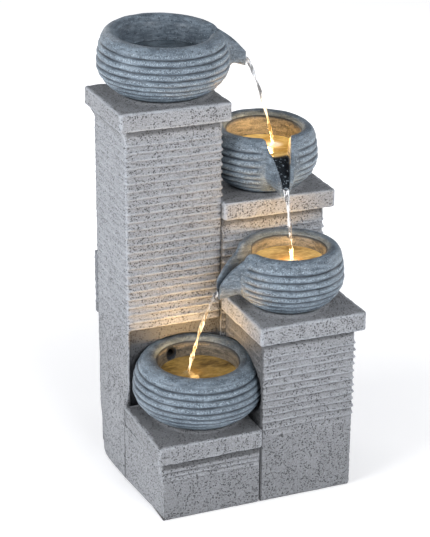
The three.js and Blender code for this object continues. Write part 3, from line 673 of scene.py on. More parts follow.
def column_relief(column, stone, co, normal):
    """How far a column's skin stands out at a point, and how exposed it is, from -1 to 1, which sets its
    painted highlights and painted shade.
    """
    along = co.y if abs(normal.x) > 0.7 else co.x
    face = 3.1 if abs(normal.x) > 0.7 else 0.0
    down = column.z1 - co.z
    wobble = 0.9 * MM * speckle(along, face, co.z, 60 * MM) + 0.35 * MM * speckle(along, co.z, face, 9 * MM)
    pitch = stone.rib_pitch * (0.66 if column.name == "low" else 1.0)
    line = (down + wobble) / pitch * (1.09 - 0.25 * down)
    k = round(line)
    offset = (line - k) * pitch
    strength = 1.0 + 0.35 * speckle(along, k * 13.7 * MM, face, 40 * MM)
    strength += 0.25 * speckle(along, k * 5.3, 0, 8 * MM)
    ribs_end, fading = RIBS_END[column.name]
    fade = smooth((co.z - ribs_end) / fading) * smooth((k - 0.5) / 2.0)
    if normal.x < -0.7:
        fade *= 0.3
    if normal.y > 0.7:
        fade *= 0.5
    height = min(1.25, max(0.2, strength)) * fade
    width = 1.6 * MM * (1.0 + 0.3 * speckle(along, k * 7.1, 1.0, 20 * MM))
    ridge = height * math.exp(-((offset / width) ** 2))
    gully = height * math.exp(-(((offset - 2.3 * MM) / (1.2 * MM)) ** 2))
    rough = 0.35 * MM * speckle(co.x, co.y, co.z, 4.5 * MM) + 0.6 * MM * speckle(co.x, co.y, co.z, 28 * MM)
    pit = min(0.0, speckle(co.x, co.y, co.z, 6 * MM) + 0.26) * 1.3 * MM * (1.0 - min(1.0, ridge))
    # Painted highlight on each rib, painted shadow in the gully under it, and painted shade growing towards
    # the floor.
    exposed = ridge - 0.5 * gully - 0.42 * smooth((DIM_BELOW - co.z) / DIM_BELOW)
    # Painted shadow under the cap's overhang.
    if not (column.name == "low" and normal.x < -0.2):
        exposed -= 0.75 * smooth((12 * MM - down) / (8 * MM))
    # Painted shade in the tall column's niche, behind the bottom bowl.
    if column.name == "tall" and normal.y < -0.7:
        exposed -= 0.7 * smooth((193 * MM - co.z) / (8 * MM))
    # Painted light on the left faces, where the key light falls, with fewer pores; painted shade on the third
    # column's left face, in the crevice beside the bottom bowl.
    if normal.x < -0.7:
        exposed += -0.8 if column.name == "third" else 0.35
    if normal.y < -0.7 and column.name in ("tall", "second"):
        # Painted shadow darkening the seam between the two columns.
        from_seam = co.x - (column.x1 if column.name == "tall" else column.x0)
        seam = math.exp(-((from_seam / (9 * MM)) ** 2))
        exposed -= 0.8 * seam * smooth((SECOND_TOP - co.z) / (90 * MM))
    return (ridge - 0.42 * gully) * stone.rib_height + rough * 0.8 + pit, exposed


def hidden_face(name, co, normal):
    """Whether a point of a column's wall is behind a neighbouring column."""
    return (
        (name == "second" and (normal.x < -0.5 or (co.z < THIRD_TOP and normal.y < -0.5)))
        or (name == "low" and (normal.x > 0.5 or normal.y > 0.5))
        or (name == "third" and (normal.y > 0.5 or (normal.x < -0.5 and co.z < LOW_TOP)))
        or (name == "tall" and normal.x > 0.5 and co.z < SECOND_TOP)
        or (name == "tall" and normal.y < -0.5 and co.z < LOW_TOP))


def left_side(column, co, stone):
    """How far a column's left side stands out past the plain outline."""
    foot = co.z - column.z0
    if column.name == "tall":
        spread = smooth((125 * MM - foot) / (45 * MM)) * stone.flare
        spread *= 1 + 0.3 * smooth((co.y - column.y0) / (40 * MM))
        spread *= 1 - smooth((co.y - column.y1 + 45 * MM) / (42 * MM))
        back = smooth((co.y - column.y1 + 22 * MM) / (22 * MM)) * smooth((60 * MM - foot) / (50 * MM))
        cove = smooth((foot - (column.z1 - column.z0) + 13 * MM) / (13 * MM)) * 5 * MM
        return spread - back * 4 * MM + cove
    if column.name == "low":
        front = (column.y1 - co.y) / (column.y1 - column.y0)
        return 5.7 * MM - front * (2 * MM + 8 * MM * smooth((column.z1 - co.z) / (45 * MM)))
    return 0.0


def skin_column(bm, column, stone, bowls, outer):
    """Gives the plain outer wall its rounded edges, flare, ribs, grit and hollows."""
    relief = bm.verts.layers.float["relief"]
    for v in outer:
        co = v.co
        # The tall and the low column share one smooth left side, so they meet there without rounding.
        shared = co.x < column.x0 + stone.edge and (
            (column.name == "low" and co.y > column.y1 - stone.edge)
            or (column.name == "tall" and co.y < column.y0 + stone.edge and co.z < 92 * MM))
        r = 0.2 * MM if shared else stone.edge
        nearest = Vector((
            min(max(co.x, column.x0 + r), column.x1 - r), min(max(co.y, column.y0 + r), column.y1 - r), co.z))
        away = co - nearest
        normal = away.normalized() if away.length > TINY else Vector((0.0, 0.0, 0.0))
        co = nearest + normal * r if away.length > TINY else co.copy()
        out, exposed = column_relief(column, stone, co, normal)
        corner = min(abs(normal.x), abs(normal.y))
        if corner > 0.2 and not shared:
            out -= max(0.0, speckle(co.x, co.y, co.z, 6 * MM)) * 1.6 * MM
            # Painted shade on the corners that face a neighbouring column; the other corners are painted
            # paler.
            inward = column.name in ("second", "third") and normal.x < 0
            inward = inward or (column.name == "tall" and normal.x > 0 and co.z < 332 * MM)
            if inward:
                exposed -= 0.5
            elif co.z > 100 * MM:
                exposed = max(exposed, 0.85)
            else:
                exposed += 0.5
        if hidden_face(column.name, co, normal):
            out = min(out, 0.0) * 0.3
        co += normal * out
        foot = co.z - column.z0
        if foot < 4 * MM:
            co -= normal * (4 * MM - foot) ** 2 / (8 * MM)
        if normal.x < -0.2:
            co.x += left_side(column, co, stone) * normal.x
        before = co.copy()
        if column.name == "tall" and normal.y < -0.7:
            co.y += niche(co, column)
        hollow_out(co, column, bowls, 0.0)
        v.co = co
        # Painted shade where the niche or a hollow pushes the wall back.
        v[relief] = exposed - 0.75 * smooth((co - before).length / (4 * MM))


def cast_column(name, stone, bowls, hatch=None):
    """One hollow casting: a floor grid whose edge is drawn up, in over the top and down the inside."""
    column = Column(name, stone)
    bm = blank("relief")
    xs = stations(column.x0, column.x1, COLUMN_STEP, *(hatch["x"] if hatch else ()))
    ys = stations(column.y0, column.y1, COLUMN_STEP)
    sheet(bm, xs, ys, column.z0)
    outer = [v for v in bm.verts if v.is_boundary]
    loop = [e for e in bm.edges if e.is_boundary]
    stops = hatch["z"] if hatch else ()
    rise = stations(column.z0, column.z1, COLUMN_RISE, column.z0 + 2 * MM, *stops)
    for z in rise[1:]:
        points, loop = extrude_loop(bm, loop)
        for v in points:
            v.co.z = z
        outer += points
    middle = Vector(((column.x0 + column.x1) / 2, (column.y0 + column.y1) / 2, 0.0))
    half = Vector(((column.x1 - column.x0) / 2, (column.y1 - column.y0) / 2, 0.0))
    points, loop = extrude_loop(bm, loop)
    inner = list(points)
    for v in points:
        for axis in (0, 1):
            t = v.co[axis] - middle[axis]
            kept = half[axis] * 0.72 if not hatch else min(hatch["half"], half[axis] * 0.8)
            if abs(t) > kept:
                squeeze = (half[axis] - stone.wall - kept) / (half[axis] - kept)
                v.co[axis] = middle[axis] + math.copysign(kept + (abs(t) - kept) * squeeze, t)
    coarse = stations(column.z0 + stone.wall, column.z1, INNER_RISE, *stops)
    if hatch:
        fine = [z for z in rise if stops[0] < z < stops[1]]
        coarse = sorted({z for z in coarse if not stops[0] < z < stops[1]} | set(fine))
    for z in reversed(coarse[:-1]):
        points, loop = extrude_loop(bm, loop)
        for v in points:
            v.co.z = z
        inner += points
    bmesh.ops.edgeloop_fill(bm, edges=loop)
    if hatch:
        open_hatch(bm, column, hatch)
        outer = [v for v in outer if v.is_valid]
        inner = [v for v in inner if v.is_valid]
    skin_column(bm, column, stone, bowls, outer)
    for v in inner:
        if column.name == "tall" and v.co.y < column.y0 + stone.wall + 1 * MM:
            v.co.y += niche(v.co, column)
        hollow_out(v.co, column, bowls, stone.wall)
        v.co.x += 0.5 * MM * speckle(v.co.x, v.co.y, v.co.z, 20 * MM)
    bmesh.ops.recalc_face_normals(bm, faces=bm.faces)
    return bm


def open_hatch(bm, column, hatch):
    """Cuts the rear access opening through both walls and joins their edges."""
    gone = []
    (left, right), (bottom, top) = hatch["x"], hatch["z"]
    for f in bm.faces:
        c = f.calc_center_median()
        if c.y > column.y1 - 12 * MM and left < c.x < right and bottom < c.z < top:
            gone.append(f)
    bmesh.ops.delete(bm, geom=gone, context="FACES")
    rims = [e for e in bm.edges if e.is_boundary]
    bmesh.ops.bridge_loops(bm, edges=rims)


class FOUNTAIN_OT_columns(bpy.types.Operator):
    """Casts the four hollow columns with their ribs, worn edges and hollows round the bowls"""

    bl_idname = "fountain.columns"
    bl_label = "Columns"

    def execute(self, context):
        stone, _, _ = settings()
        material = cast_stone("Cast Stone", stone)
        bowls = [Bowl(name) for name in CARRIED_BY]
        low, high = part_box("door_seal")
        rim = 6 * MM
        hatch = {
            "x": (low.x + rim, high.x - rim), "z": (low.z + rim / 2, high.z - rim / 2),
            "half": (high.x - low.x) / 2 - rim,
        }
        for name in ("tall", "second", "third", "low"):
            bm = cast_column(name, stone, bowls, hatch if name == "tall" else None)
            made = piece_from(bm, f"stone_column_{name}", material, "cast_stone", f"column_{name}")
            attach(made, "root")
        return {"FINISHED"}


# ---------------------------------------------------------------- caps and door
def slab(low, high, step, corner, skin):
    """A block drawn up from a flat grid, with its edges rounded and its skin moved by skin(co, normal)."""
    bm = blank("relief")
    xs = stations(low.x, high.x, step, low.x + corner, high.x - corner)
    ys = stations(low.y, high.y, step, low.y + corner, high.y - corner)
    sheet(bm, xs, ys, low.z)
    top = bmesh.ops.extrude_face_region(bm, geom=bm.faces[:] + bm.edges[:] + bm.verts[:], use_keep_orig=True)
    points = [g for g in top["geom"] if isinstance(g, bmesh.types.BMVert)]
    bmesh.ops.translate(bm, verts=points, vec=(0.0, 0.0, high.z - low.z))
    upright = [e for e in bm.edges if abs(e.verts[0].co.z - e.verts[1].co.z) > 0.5 * (high.z - low.z)]
    cuts = max(1, round((high.z - low.z) / step) - 1)
    bmesh.ops.subdivide_edges(bm, edges=upright, cuts=cuts, use_grid_fill=True)
    relief = bm.verts.layers.float["relief"]
    for v in bm.verts:
        co = v.co.copy()
        wear = max(0.0, speckle(co.x, co.y, co.z, 9 * MM) - 0.1) * 2.4 * MM
        wear += max(0.0, speckle(co.x + 1, co.y, co.z, 25 * MM)) * 1.5 * MM
        r = corner + wear
        nearest = Vector([min(max(co[i], low[i] + r), high[i] - r) for i in range(3)])
        away = co - nearest
        edges = sum(abs(a) > TINY for a in away)
        if away.length > r:
            co = nearest + away.normalized() * r
        normal = away.normalized() if away.length > TINY else Vector((0.0, 0.0, 0.0))
        out, exposed = skin(co, normal)
        v.co = co + normal * out
        v[relief] = exposed + 0.75 if edges > 1 else exposed
    bmesh.ops.recalc_face_normals(bm, faces=bm.faces)
    return bm


def cap_skin(bowl):
    """Skin of a cap: grit everywhere and a low smooth ring round the bowl's foot."""
    # Painted shade: caps lower down are darker, as if the light fell off towards the floor.
    low = 0.35 * smooth((DIM_BELOW - bowl.base) / DIM_BELOW)

    def skin(co, normal):
        grit = 0.3 * MM * speckle(co.x, co.y, co.z, 4 * MM) + 0.6 * MM * speckle(co.x, co.y, co.z, 30 * MM)
        pit = min(0.0, speckle(co.x, co.y, co.z, 6 * MM) + 0.34) * 1.2 * MM
        if normal.z > 0.9:
            away = math.hypot(co.x - bowl.x, co.y - bowl.y) - bowl.foot
            ring = math.exp(-((away - 7 * MM) / (4.5 * MM)) ** 2)
            seat = smooth((4 * MM - away) / (4 * MM))
            plain = max(0.0, 1.0 - seat - ring)
            return (grit + pit) * plain + 1.3 * MM * ring - 0.35 * MM, ring - 0.36 + 0.3 * seat - low
        # Painted shade on the underside.
        if normal.z < -0.9:
            return 0.0, -0.6
        return grit + pit + 0.5 * MM, -low
    return skin


class FOUNTAIN_OT_caps(bpy.types.Operator):
    """Makes the four cap slabs with chipped, rounded edges and a ring round each bowl"""

    bl_idname = "fountain.caps"
    bl_label = "Caps"

    def execute(self, context):
        stone, _, _ = settings()
        material = bpy.data.materials.get("Cast Stone") or cast_stone("Cast Stone", stone)
        for bowl_name, name in CARRIED_BY.items():
            low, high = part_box(f"cap_{name}")
            bm = slab(low, high, 2.0 * MM, 2.6 * MM, cap_skin(Bowl(bowl_name)))
            made = piece_from(bm, f"stone_cap_{name}", material, "cast_stone", f"cap_{name}")
            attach(made, "root")
        return {"FINISHED"}


class FOUNTAIN_OT_door(bpy.types.Operator):
    """Makes the rear door, a rough cast slab with the plug that fills the hatch"""

    bl_idname = "fountain.door"
    bl_label = "Rear Door"

    def execute(self, context):
        stone, _, _ = settings()
        low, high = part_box("rear_door")
        seal_low, seal_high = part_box("door_seal")
        face = Vector((low.x - 3.8 * MM, seal_high.y + 0.35 * MM, low.z))

        def skin(co, normal):
            grit = 0.3 * MM * speckle(co.x, co.y, co.z, 4 * MM)
            rib = math.exp(-((((co.z - low.z) / stone.rib_pitch) % 1.0 - 0.5) * 5.0) ** 2)
            if normal.y < -0.9:
                return 0.0, 0.0
            # The ribs are painted paler as highlights.
            return min(0.0, grit - 0.8 * MM + rib * 0.6 * MM), rib * 0.6

        bm = slab(face, high, 2.0 * MM, 1.6 * MM, skin)
        rim = 7.2 * MM
        plug_low = Vector((seal_low.x + rim, low.y, seal_low.z + rim / 2 + 0.6 * MM))
        plug_high = Vector((seal_high.x - rim, face.y - 0.02 * MM, seal_high.z - rim / 2 - 0.6 * MM))
        plug = slab(plug_low, plug_high, 4.0 * MM, 0.8 * MM, lambda co, normal: (0.0, 0.0))
        spare = bpy.data.meshes.new("plug")
        plug.to_mesh(spare)
        plug.free()
        bm.from_mesh(spare)
        bpy.data.meshes.remove(spare)
        material = cast_stone("Door Stone", stone, darker=0.7)
        made = piece_from(bm, "stone_rear_door", material, "cast_stone", "rear_door")
        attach(made, "rear_door")
        return {"FINISHED"}


# ---------------------------------------------------------------- bowls
FOOT_RINGS = (0.0, 0.35, 0.7, 0.93)
FIRST = len(FOOT_RINGS)  # the first row of the outside
ROWS_OUTSIDE = 132
LAST = FIRST + ROWS_OUTSIDE - 1
ROWS_LIP = 10
ROWS_INSIDE = 26
BOWL_TURNS = 176
POOL_TURNS = 144
SEEDS = {"top": 1.0, "second": 2.0, "third": 3.0, "bottom": 4.0}


def bowl_profile(bowl, wall):
    """Radius and height of each row of a plain bowl: foot, outside, lip, inside and floor."""
    rows = [(bowl.foot * t, 0.0) for t in FOOT_RINGS]
    ring = []
    for i in range(721):
        z = bowl.height * i / 720
        ring.append((bowl.outside(z), z))
    rows += evenly(ring, ROWS_OUTSIDE)
    outer = bowl.mouth + bowl.lip
    for i in range(1, ROWS_LIP + 1):
        t = i / ROWS_LIP
        a = smooth(t) * math.pi / 2
        rows.append((outer - (outer - bowl.mouth) * math.sin(t * math.pi / 2),
                     bowl.height - LIP_DROP * (1 - math.cos(a))))
    top = bowl.height - LIP_DROP
    inner = []
    for i in range(1, 401):
        z = top + (BOWL_FLOOR - top) * i / 400
        inner.append((bowl.inside(z, wall), z))
    rows += evenly(inner, ROWS_INSIDE)
    rows += [(bowl.foot * FLAT_SHARE * t, BOWL_FLOOR) for t in (0.8, 0.5, 0.2, 0.0)]
    return rows


def evenly(line, count):
    """Points at equal distances along a line of close points."""
    travelled = [0.0]
    for a, b in zip(line, line[1:]):
        travelled.append(travelled[-1] + math.hypot(b[0] - a[0], b[1] - a[1]))
    out, j = [], 0
    for i in range(count):
        want = travelled[-1] * i / (count - 1)
        while j < len(line) - 2 and travelled[j + 1] < want:
            j += 1
        span = travelled[j + 1] - travelled[j] or 1.0
        t = (want - travelled[j]) / span
        a, b = line[j], line[j + 1]
        out.append((a[0] + (b[0] - a[0]) * t, a[1] + (b[1] - a[1]) * t))
    return out


def spin_rows(bm, rows, turns):
    """Spins a profile of (radius, height) rows about Z, with each row's number kept in a layer."""
    layer = bm.verts.layers.int["row"]
    start = bmesh.ops.create_vert(bm, co=(max(rows[0][0], 0.0), 0.0, rows[0][1]))["vert"][0]
    start[layer] = 0
    last, edges = start, []
    for i, (radius, z) in enumerate(rows[1:], 1):
        made = bmesh.ops.extrude_vert_indiv(bm, verts=[last])
        last = made["verts"][0]
        last.co = (radius, 0.0, z)
        last[layer] = i
        edges += made["edges"]
    bmesh.ops.spin(bm, geom=edges + bm.verts[:], cent=(0, 0, 0), axis=(0, 0, 1), dvec=(0, 0, 0),
                   angle=2 * math.pi, steps=turns, use_merge=True)
    return layer


def fire_bowl(bowl, look):
    """A ribbed bowl, with a wedge-nosed open spout if it feeds another bowl."""
    bm = blank("row", "relief")
    rows = bowl_profile(bowl, look.wall)
    layer = spin_rows(bm, rows, BOWL_TURNS)
    relief = bm.verts.layers.float["relief"]
    spout = Spout(bowl, look.spout_reach, look.wall) if bowl.name in FEEDS else None
    turn = bowl.heading()
    travelled = [0.0] * len(rows)
    for i in range(FIRST + 1, LAST + 1):
        travelled[i] = travelled[i - 1] + math.hypot(rows[i][0] - rows[i - 1][0], rows[i][1] - rows[i - 1][1])
    side = travelled[LAST]
    seed = SEEDS[bowl.name]
    for v in bm.verts:
        i = v[layer]
        radius, z = rows[i]
        angle = math.atan2(v.co.y, v.co.x)
        if spout:
            angle = crowded(angle)
        exposed = 0.55
        plain = 1.0
        if spout:
            plain = smooth((abs(angle) - math.radians(17)) / math.radians(9))
        if FIRST <= i <= LAST:
            nx, nz = outward(rows, i)
            east, north = math.cos(angle), math.sin(angle)
            broad = 11 * MM + 2.5 * MM * speckle(east, north, seed, 1.3)
            run = travelled[i] + 0.8 * MM * speckle(east * 2, north * 2, seed * 3 + i / 60, 1.0)
            left = side - broad
            phase = (run - 2 * MM) / look.rib_pitch
            bulge = abs(math.sin(math.pi * phase)) ** 0.75
            cut = smooth((left - run) / (3 * MM)) * plain
            varied = 0.8 + 0.35 * speckle(east * 3, north * 3, round(phase) * 1.7 + seed, 1.0)
            depth = look.groove_depth * (1.0 - bulge) * cut * varied
            lump = 0.45 * MM * speckle(east * 4, north * 4, i / 14 + seed, 1.0)
            sunk = depth - lump + 0.35 * MM
            radius -= sunk * nx
            z -= sunk * nz
            exposed = 0.7 + cut * (bulge ** 1.1 - 0.7) * min(1.0, varied)
        if spout:
            radius, z, exposed = shape_spout(spout, rows, i, angle, radius, z, exposed)
        rough = 0.3 * MM * speckle(radius * math.cos(angle), radius * math.sin(angle), z + seed, 6 * MM)
        if i > LAST:
            radius += rough
            deep = smooth((i - LAST - ROWS_LIP + 2) / 5)
            exposed = 0.62 - 0.1 * deep if bowl.name == "top" else exposed * (1 - deep) - deep
        spun = angle + turn
        aside = radius * math.sin(spun)
        # The second bowl only rises at its back, so that its spout keeps its place under the stream.
        raised = max(0.0, aside) if bowl.name == "second" else aside
        lifted = z + bowl.lean * raised * z / bowl.height
        v.co = (bowl.x + radius * math.cos(spun), bowl.y + aside, bowl.base + lifted)
        v[relief] = exposed
    bmesh.ops.remove_doubles(bm, verts=bm.verts, dist=0.02 * MM)
    bmesh.ops.recalc_face_normals(bm, faces=bm.faces)
    return bm


def outward(rows, i):
    """Unit normal of the outside profile at a row."""
    a, b = rows[max(i - 1, FIRST)], rows[min(i + 1, len(rows) - 1)]
    dx, dz = b[0] - a[0], b[1] - a[1]
    length = math.hypot(dx, dz) or 1.0
    return dz / length, -dx / length


def shape_spout(spout, rows, i, angle, radius, z, exposed):
    """Moves a point of the plain bowl on to the spout's nose, lips or trough."""
    plain_z = rows[i][1]
    reach = spout.nose_reach(angle, plain_z)
    if FIRST <= i <= LAST and plain_z > spout.under * 0.55 and reach > 0:
        # The underside is a flat ledge, so rows just below it are drawn up to its height.
        ledge = smooth((plain_z - spout.under * 0.55) / (spout.under * 0.45))
        limit = min(reach, spout.slope_reach(plain_z))
        if limit > radius:
            grown = radius + (limit - radius) * ledge
            rise = 8 * MM * (1 - clamp((grown - spout.bowl.radius) / (spout.tip - spout.bowl.radius)))
            under = spout.under + rise
            if plain_z < under:
                z = z + (under - z) * smooth((limit - radius) / (6 * MM))
            radius = grown
            exposed = 0.62
    over = spout.in_trough(radius, angle)
    if over > 0.0 and i >= FIRST:
        wall = spout.wall_radius
        inner = i > LAST or radius < wall
        held = max(radius, wall) if inner else radius
        floor = spout.trough_floor(held * math.cos(angle))
        beyond = plain_z > spout.mouth_floor if inner else z > floor
        if beyond:
            inside = spout.in_trough(held, angle) if inner else over
            radius = radius + (held - radius) * inside
            z = z + (min(z, floor) - z) * inside
            exposed = exposed + (0.3 - exposed) * inside
    return radius, z, exposed


class FOUNTAIN_OT_bowls(bpy.types.Operator):
    """Makes the four ribbed bowls, three of them with spouts and one with the overflow hole"""

    bl_idname = "fountain.bowls"
    bl_label = "Bowls"

    def execute(self, context):
        _, look, _ = settings()
        material = bowl_wash(look)
        for name in CARRIED_BY:
            bm = fire_bowl(Bowl(name), look)
            if name == "bottom":
                drill_overflow(bm, Bowl(name))
            made = piece_from(bm, f"ribbed_bowl_{name}", material, "bowl_stone", f"bowl_{name}")
            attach(made, "root")
        return {"FINISHED"}


def drill_overflow(bm, bowl):
    """Opens the bowl's wall round the return tube's inner end."""
    low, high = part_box("return_tube")
    x, z = (low.x + high.x) / 2, (low.z + high.z) / 2
    radius = (high.z - low.z) / 2 + 0.4 * MM
    relief = bm.verts.layers.float["relief"]
    gone = []
    for f in bm.faces:
        c = f.calc_center_median()
        if c.y > bowl.y and math.hypot(c.x - x, c.z - z) < radius:
            gone.append(f)
    bmesh.ops.delete(bm, geom=gone, context="FACES")
    rims = [e for e in bm.edges if e.is_boundary]
    for v in {v for e in rims for v in e.verts}:
        away = Vector((v.co.x - x, 0.0, v.co.z - z))
        if away.length > 1e-6:
            away = away.normalized() * radius
            v.co.x, v.co.z = x + away.x, z + away.z
        # Painted shade: the hole's rim takes the near-black groove colour.
        v[relief] = 0.0
    bmesh.ops.bridge_loops(bm, edges=rims)
    bmesh.ops.recalc_face_normals(bm, faces=bm.faces)


# ---------------------------------------------------------------- water
# How far past the spout's tip each stream lands.
CARRIES = {"second": 37 * MM, "third": 27 * MM, "bottom": 35 * MM}
POOL_ROWS = 46
STREAM_SIDES = 14
STREAM_STEPS = 72
# How far down each stream the golden light begins, as a share of its fall.
WARM_FROM = {"top": 0.3, "second": 0.45, "third": -0.05}
# A number that gives each stream its own wavering shape.
STREAM_SEEDS = {"top": 2.0, "second": 5.0, "third": 9.0}


def landing(bowl, look):
    """Where the stream that falls into a bowl meets its water, in the frame."""
    source = next((name for name, fed in FEEDS.items() if fed == bowl.name), None)
    if source is None:
        return None
    above = Bowl(source)
    tip = above.radius + look.spout_reach
    turn = above.heading()
    x, y = above.x + tip * math.cos(turn), above.y + tip * math.sin(turn)
    carry = CARRIES[bowl.name]
    return Vector((x + carry * math.cos(turn), y + carry * math.sin(turn)))


def pool(bowl, look, water):
    """A pool's face, its ripples, and the tongue of water that runs down the spout."""
    bm = blank("row", "bright")
    level = bowl.level(water)
    edge = bowl.inside(level, look.wall) - 0.4 * MM
    rows = [(edge * i / POOL_ROWS, level) for i in range(POOL_ROWS + 1)]
    layer = spin_rows(bm, rows, POOL_TURNS)
    bright = bm.verts.layers.float["bright"]
    spout = Spout(bowl, look.spout_reach, look.wall) if bowl.name in FEEDS else None
    turn = bowl.heading()
    spot = landing(bowl, look)
    for v in bm.verts:
        radius, z = rows[v[layer]]
        angle = math.atan2(v.co.y, v.co.x)
        sunk = 0.0
        if spout:
            angle = crowded(angle)
            limit = trough_reach(spout, angle)
            if limit > edge:
                radius = radius * limit / edge
                edge_of_fall = spout.wall_radius - 6 * MM
                fall = max(0.0, (radius - edge_of_fall) / (spout.tip - edge_of_fall))
                sunk = 1.8 * smooth(fall * 2.5)
                end = spout.tip_floor + 2.6 * MM
                floor = spout.trough_floor(radius * math.cos(angle)) + 2.2 * MM
                z = max(level + (end - level) * fall ** 1.3, floor if fall > 0 else z)
        spun = angle + turn
        x, y = bowl.x + radius * math.cos(spun), bowl.y + radius * math.sin(spun)
        shine = 0.0
        if spot is not None:
            away = math.hypot(x - spot.x, y - spot.y)
            settle = smooth((edge - radius) / (10 * MM))
            z += 0.9 * MM * math.cos(away / (2.6 * MM)) * math.exp(-away / (13 * MM)) * settle
            splash = 1.6 * MM * math.exp(-((away / (4.5 * MM)) ** 2))
            z += splash * (1 + speckle(x, y, 0.0, 2.5 * MM)) * settle
            shine = (0.45 if bowl.name == "bottom" else 1.0) * math.exp(-((away / (12 * MM)) ** 2))
            shine += 0.25 * smooth((radius - edge + 5 * MM) / (5 * MM))
        z += 0.25 * MM * speckle(x, y, level, 9 * MM)
        v.co = (x, y, bowl.base + z)
        v[bright] = min(1.0, shine) - sunk
    bmesh.ops.remove_doubles(bm, verts=bm.verts, dist=0.01 * MM)
    bmesh.ops.recalc_face_normals(bm, faces=bm.faces)
    upward = sum(f.normal.z for f in bm.faces)
    if upward < 0:
        bmesh.ops.reverse_faces(bm, faces=bm.faces)
    bmesh.ops.solidify(bm, geom=bm.faces[:], thickness=0.8 * MM)
    return bm


def trough_reach(spout, angle):
    """How far the trough's water reaches in this direction."""
    a = abs(angle)
    if a > math.radians(40):
        return 0.0
    reach = 0.0
    for i in range(60):
        radius = spout.wall_radius - 4 * MM + (spout.tip + 0.4 * MM - spout.wall_radius + 4 * MM) * i / 59
        if radius * math.sin(a) > spout.trough_half(radius * math.cos(a)) + 0.5 * MM:
            break
        reach = radius
    return reach


def stream(bowl, look, water):
    """A falling stream from a spout's tip to the next bowl's water."""
    fed = Bowl(FEEDS[bowl.name])
    turn = bowl.heading()
    tip = bowl.radius + look.spout_reach - 2.5 * MM
    tip_floor = UNDER_SPOUT[bowl.name][2]
    start = Vector((
        bowl.x + tip * math.cos(turn), bowl.y + tip * math.sin(turn), bowl.base + tip_floor + 2 * MM))
    spot = landing(fed, look)
    end = Vector((spot.x, spot.y, fed.base + fed.level(water) - 0.5 * MM))
    bm = blank("bright")
    bright = bm.verts.layers.float["bright"]
    ring = bmesh.ops.create_circle(bm, cap_ends=True, segments=STREAM_SIDES, radius=1.0)["verts"]
    loop = [e for e in bm.edges if e.is_boundary]
    if not loop:
        loop = bm.edges[:]
    seed = STREAM_SEEDS[bowl.name]
    order = {v: v.co.copy() for v in ring}
    for step in range(STREAM_STEPS + 1):
        t = step / STREAM_STEPS
        if step:
            points, loop = extrude_loop(bm, loop)
            order = match_ring(points, order)
        across = t ** 0.62
        centre = Vector((start.x + (end.x - start.x) * across, start.y + (end.y - start.y) * across,
                         start.z + (end.z - start.z) * t))
        centre.x += 0.7 * MM * speckle(seed, t * 6, 0.0, 1.0) * t
        centre.y += 0.7 * MM * speckle(seed, t * 6, 4.0, 1.0) * t
        thin = 1.0 - 0.3 * t + 0.3 * speckle(seed, t * 13, 7.0, 1.0) + 0.2 * speckle(seed, t * 30, 2.0, 1.0)
        width = water.stream_radius * max(0.55, thin)
        twist = 2.6 * t * math.pi + seed
        squash = 0.55 + 0.25 * speckle(seed, t * 8, 3.0, 1.0)
        flare = 1.0 + 0.9 * math.exp(-((1 - t) / 0.03) ** 2) + 0.8 * math.exp(-(t / 0.05) ** 2)
        for v, unit in order.items():
            x, y = unit.x * width * flare, unit.y * width * squash * flare
            v.co = centre + Vector((
                x * math.cos(twist) - y * math.sin(twist), x * math.sin(twist) + y * math.cos(twist), 0.0))
            v[bright] = smooth((t - WARM_FROM[bowl.name]) / 0.5)
    bmesh.ops.edgeloop_fill(bm, edges=loop)
    bmesh.ops.recalc_face_normals(bm, faces=bm.faces)
    return bm


def match_ring(points, order):
    """Pairs each new point of an extruded ring with the place in the circle of the point it grew from."""
    grown = {}
    for v in points:
        for e in v.link_edges:
            other = e.other_vert(v)
            if other in order:
                grown[v] = order[other]
    return grown


class FOUNTAIN_OT_water(bpy.types.Operator):
    """Makes the four pools with their tongues in the spouts, and the three falling streams"""

    bl_idname = "fountain.water"
    bl_label = "Water"

    def execute(self, context):
        _, look, water = settings()
        for name in CARRIED_BY:
            bm = pool(Bowl(name), look, water)
            finish = lit_water(name) if name in POOLS else dark_water()
            made = piece_from(bm, f"water_surface_{name}", finish, None)
            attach(made, "root")
        falling = falling_water()
        for name in FEEDS:
            made = piece_from(stream(Bowl(name), look, water), f"water_stream_{name}", falling, None)
            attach(made, "root")
        return {"FINISHED"}


# ---------------------------------------------------------------- fittings kept from the CAD
class FOUNTAIN_OT_fittings(bpy.types.Operator):
    """Gives the pump, pipes, lamps, leads and fixings their finishes"""

    bl_idname = "fountain.fittings"
    bl_label = "Pump, Pipes, Lamps and Leads"

    def execute(self, context):
        _, _, water = settings()
        finishes = {
            "black_rubber": moulded("Black Rubber", (0.02, 0.02, 0.021), 0.75),
            "lead_sheath": moulded("Lead Sheath", (0.028, 0.028, 0.03), 0.45),
            "steel": worked_metal("Stainless Steel", (0.62, 0.63, 0.65), 0.2),
            "black_plastic": moulded("Black Plastic", (0.026, 0.027, 0.03), 0.45),
            "grey_plastic": moulded("Grey Plastic", (0.30, 0.31, 0.33), 0.5),
            "magnet": moulded("Rotor Ferrite", (0.045, 0.045, 0.05), 0.4),
            "ceramic": ground_ceramic(),
            "hose_vinyl": soft_vinyl(),
            "brass": worked_metal("Turned Brass", (0.72, 0.50, 0.20), 0.22),
            "lens": lit_lens(water),
        }
        replaced = ("column_", "cap_", "bowl_", "rear_door")
        for part in frame["record"]["subparts"]:
            if part["node"].startswith(replaced):
                continue
            materials = frame["nodes"][part["node"]].data.materials
            materials.clear()
            materials.append(finishes[part["material_slot"]])
        return {"FINISHED"}


# ---------------------------------------------------------------- lamps, studio and camera
def add_light(name, kind, energy, place, colour, **more):
    data = bpy.data.lights.new(name, kind)
    data.energy = energy
    data.color = colour
    for key, value in more.items():
        setattr(data, key, value)
    lamp = bpy.data.objects.new(name, data)
    lamp.location = place
    bpy.context.scene.collection.objects.link(lamp)
    return lamp


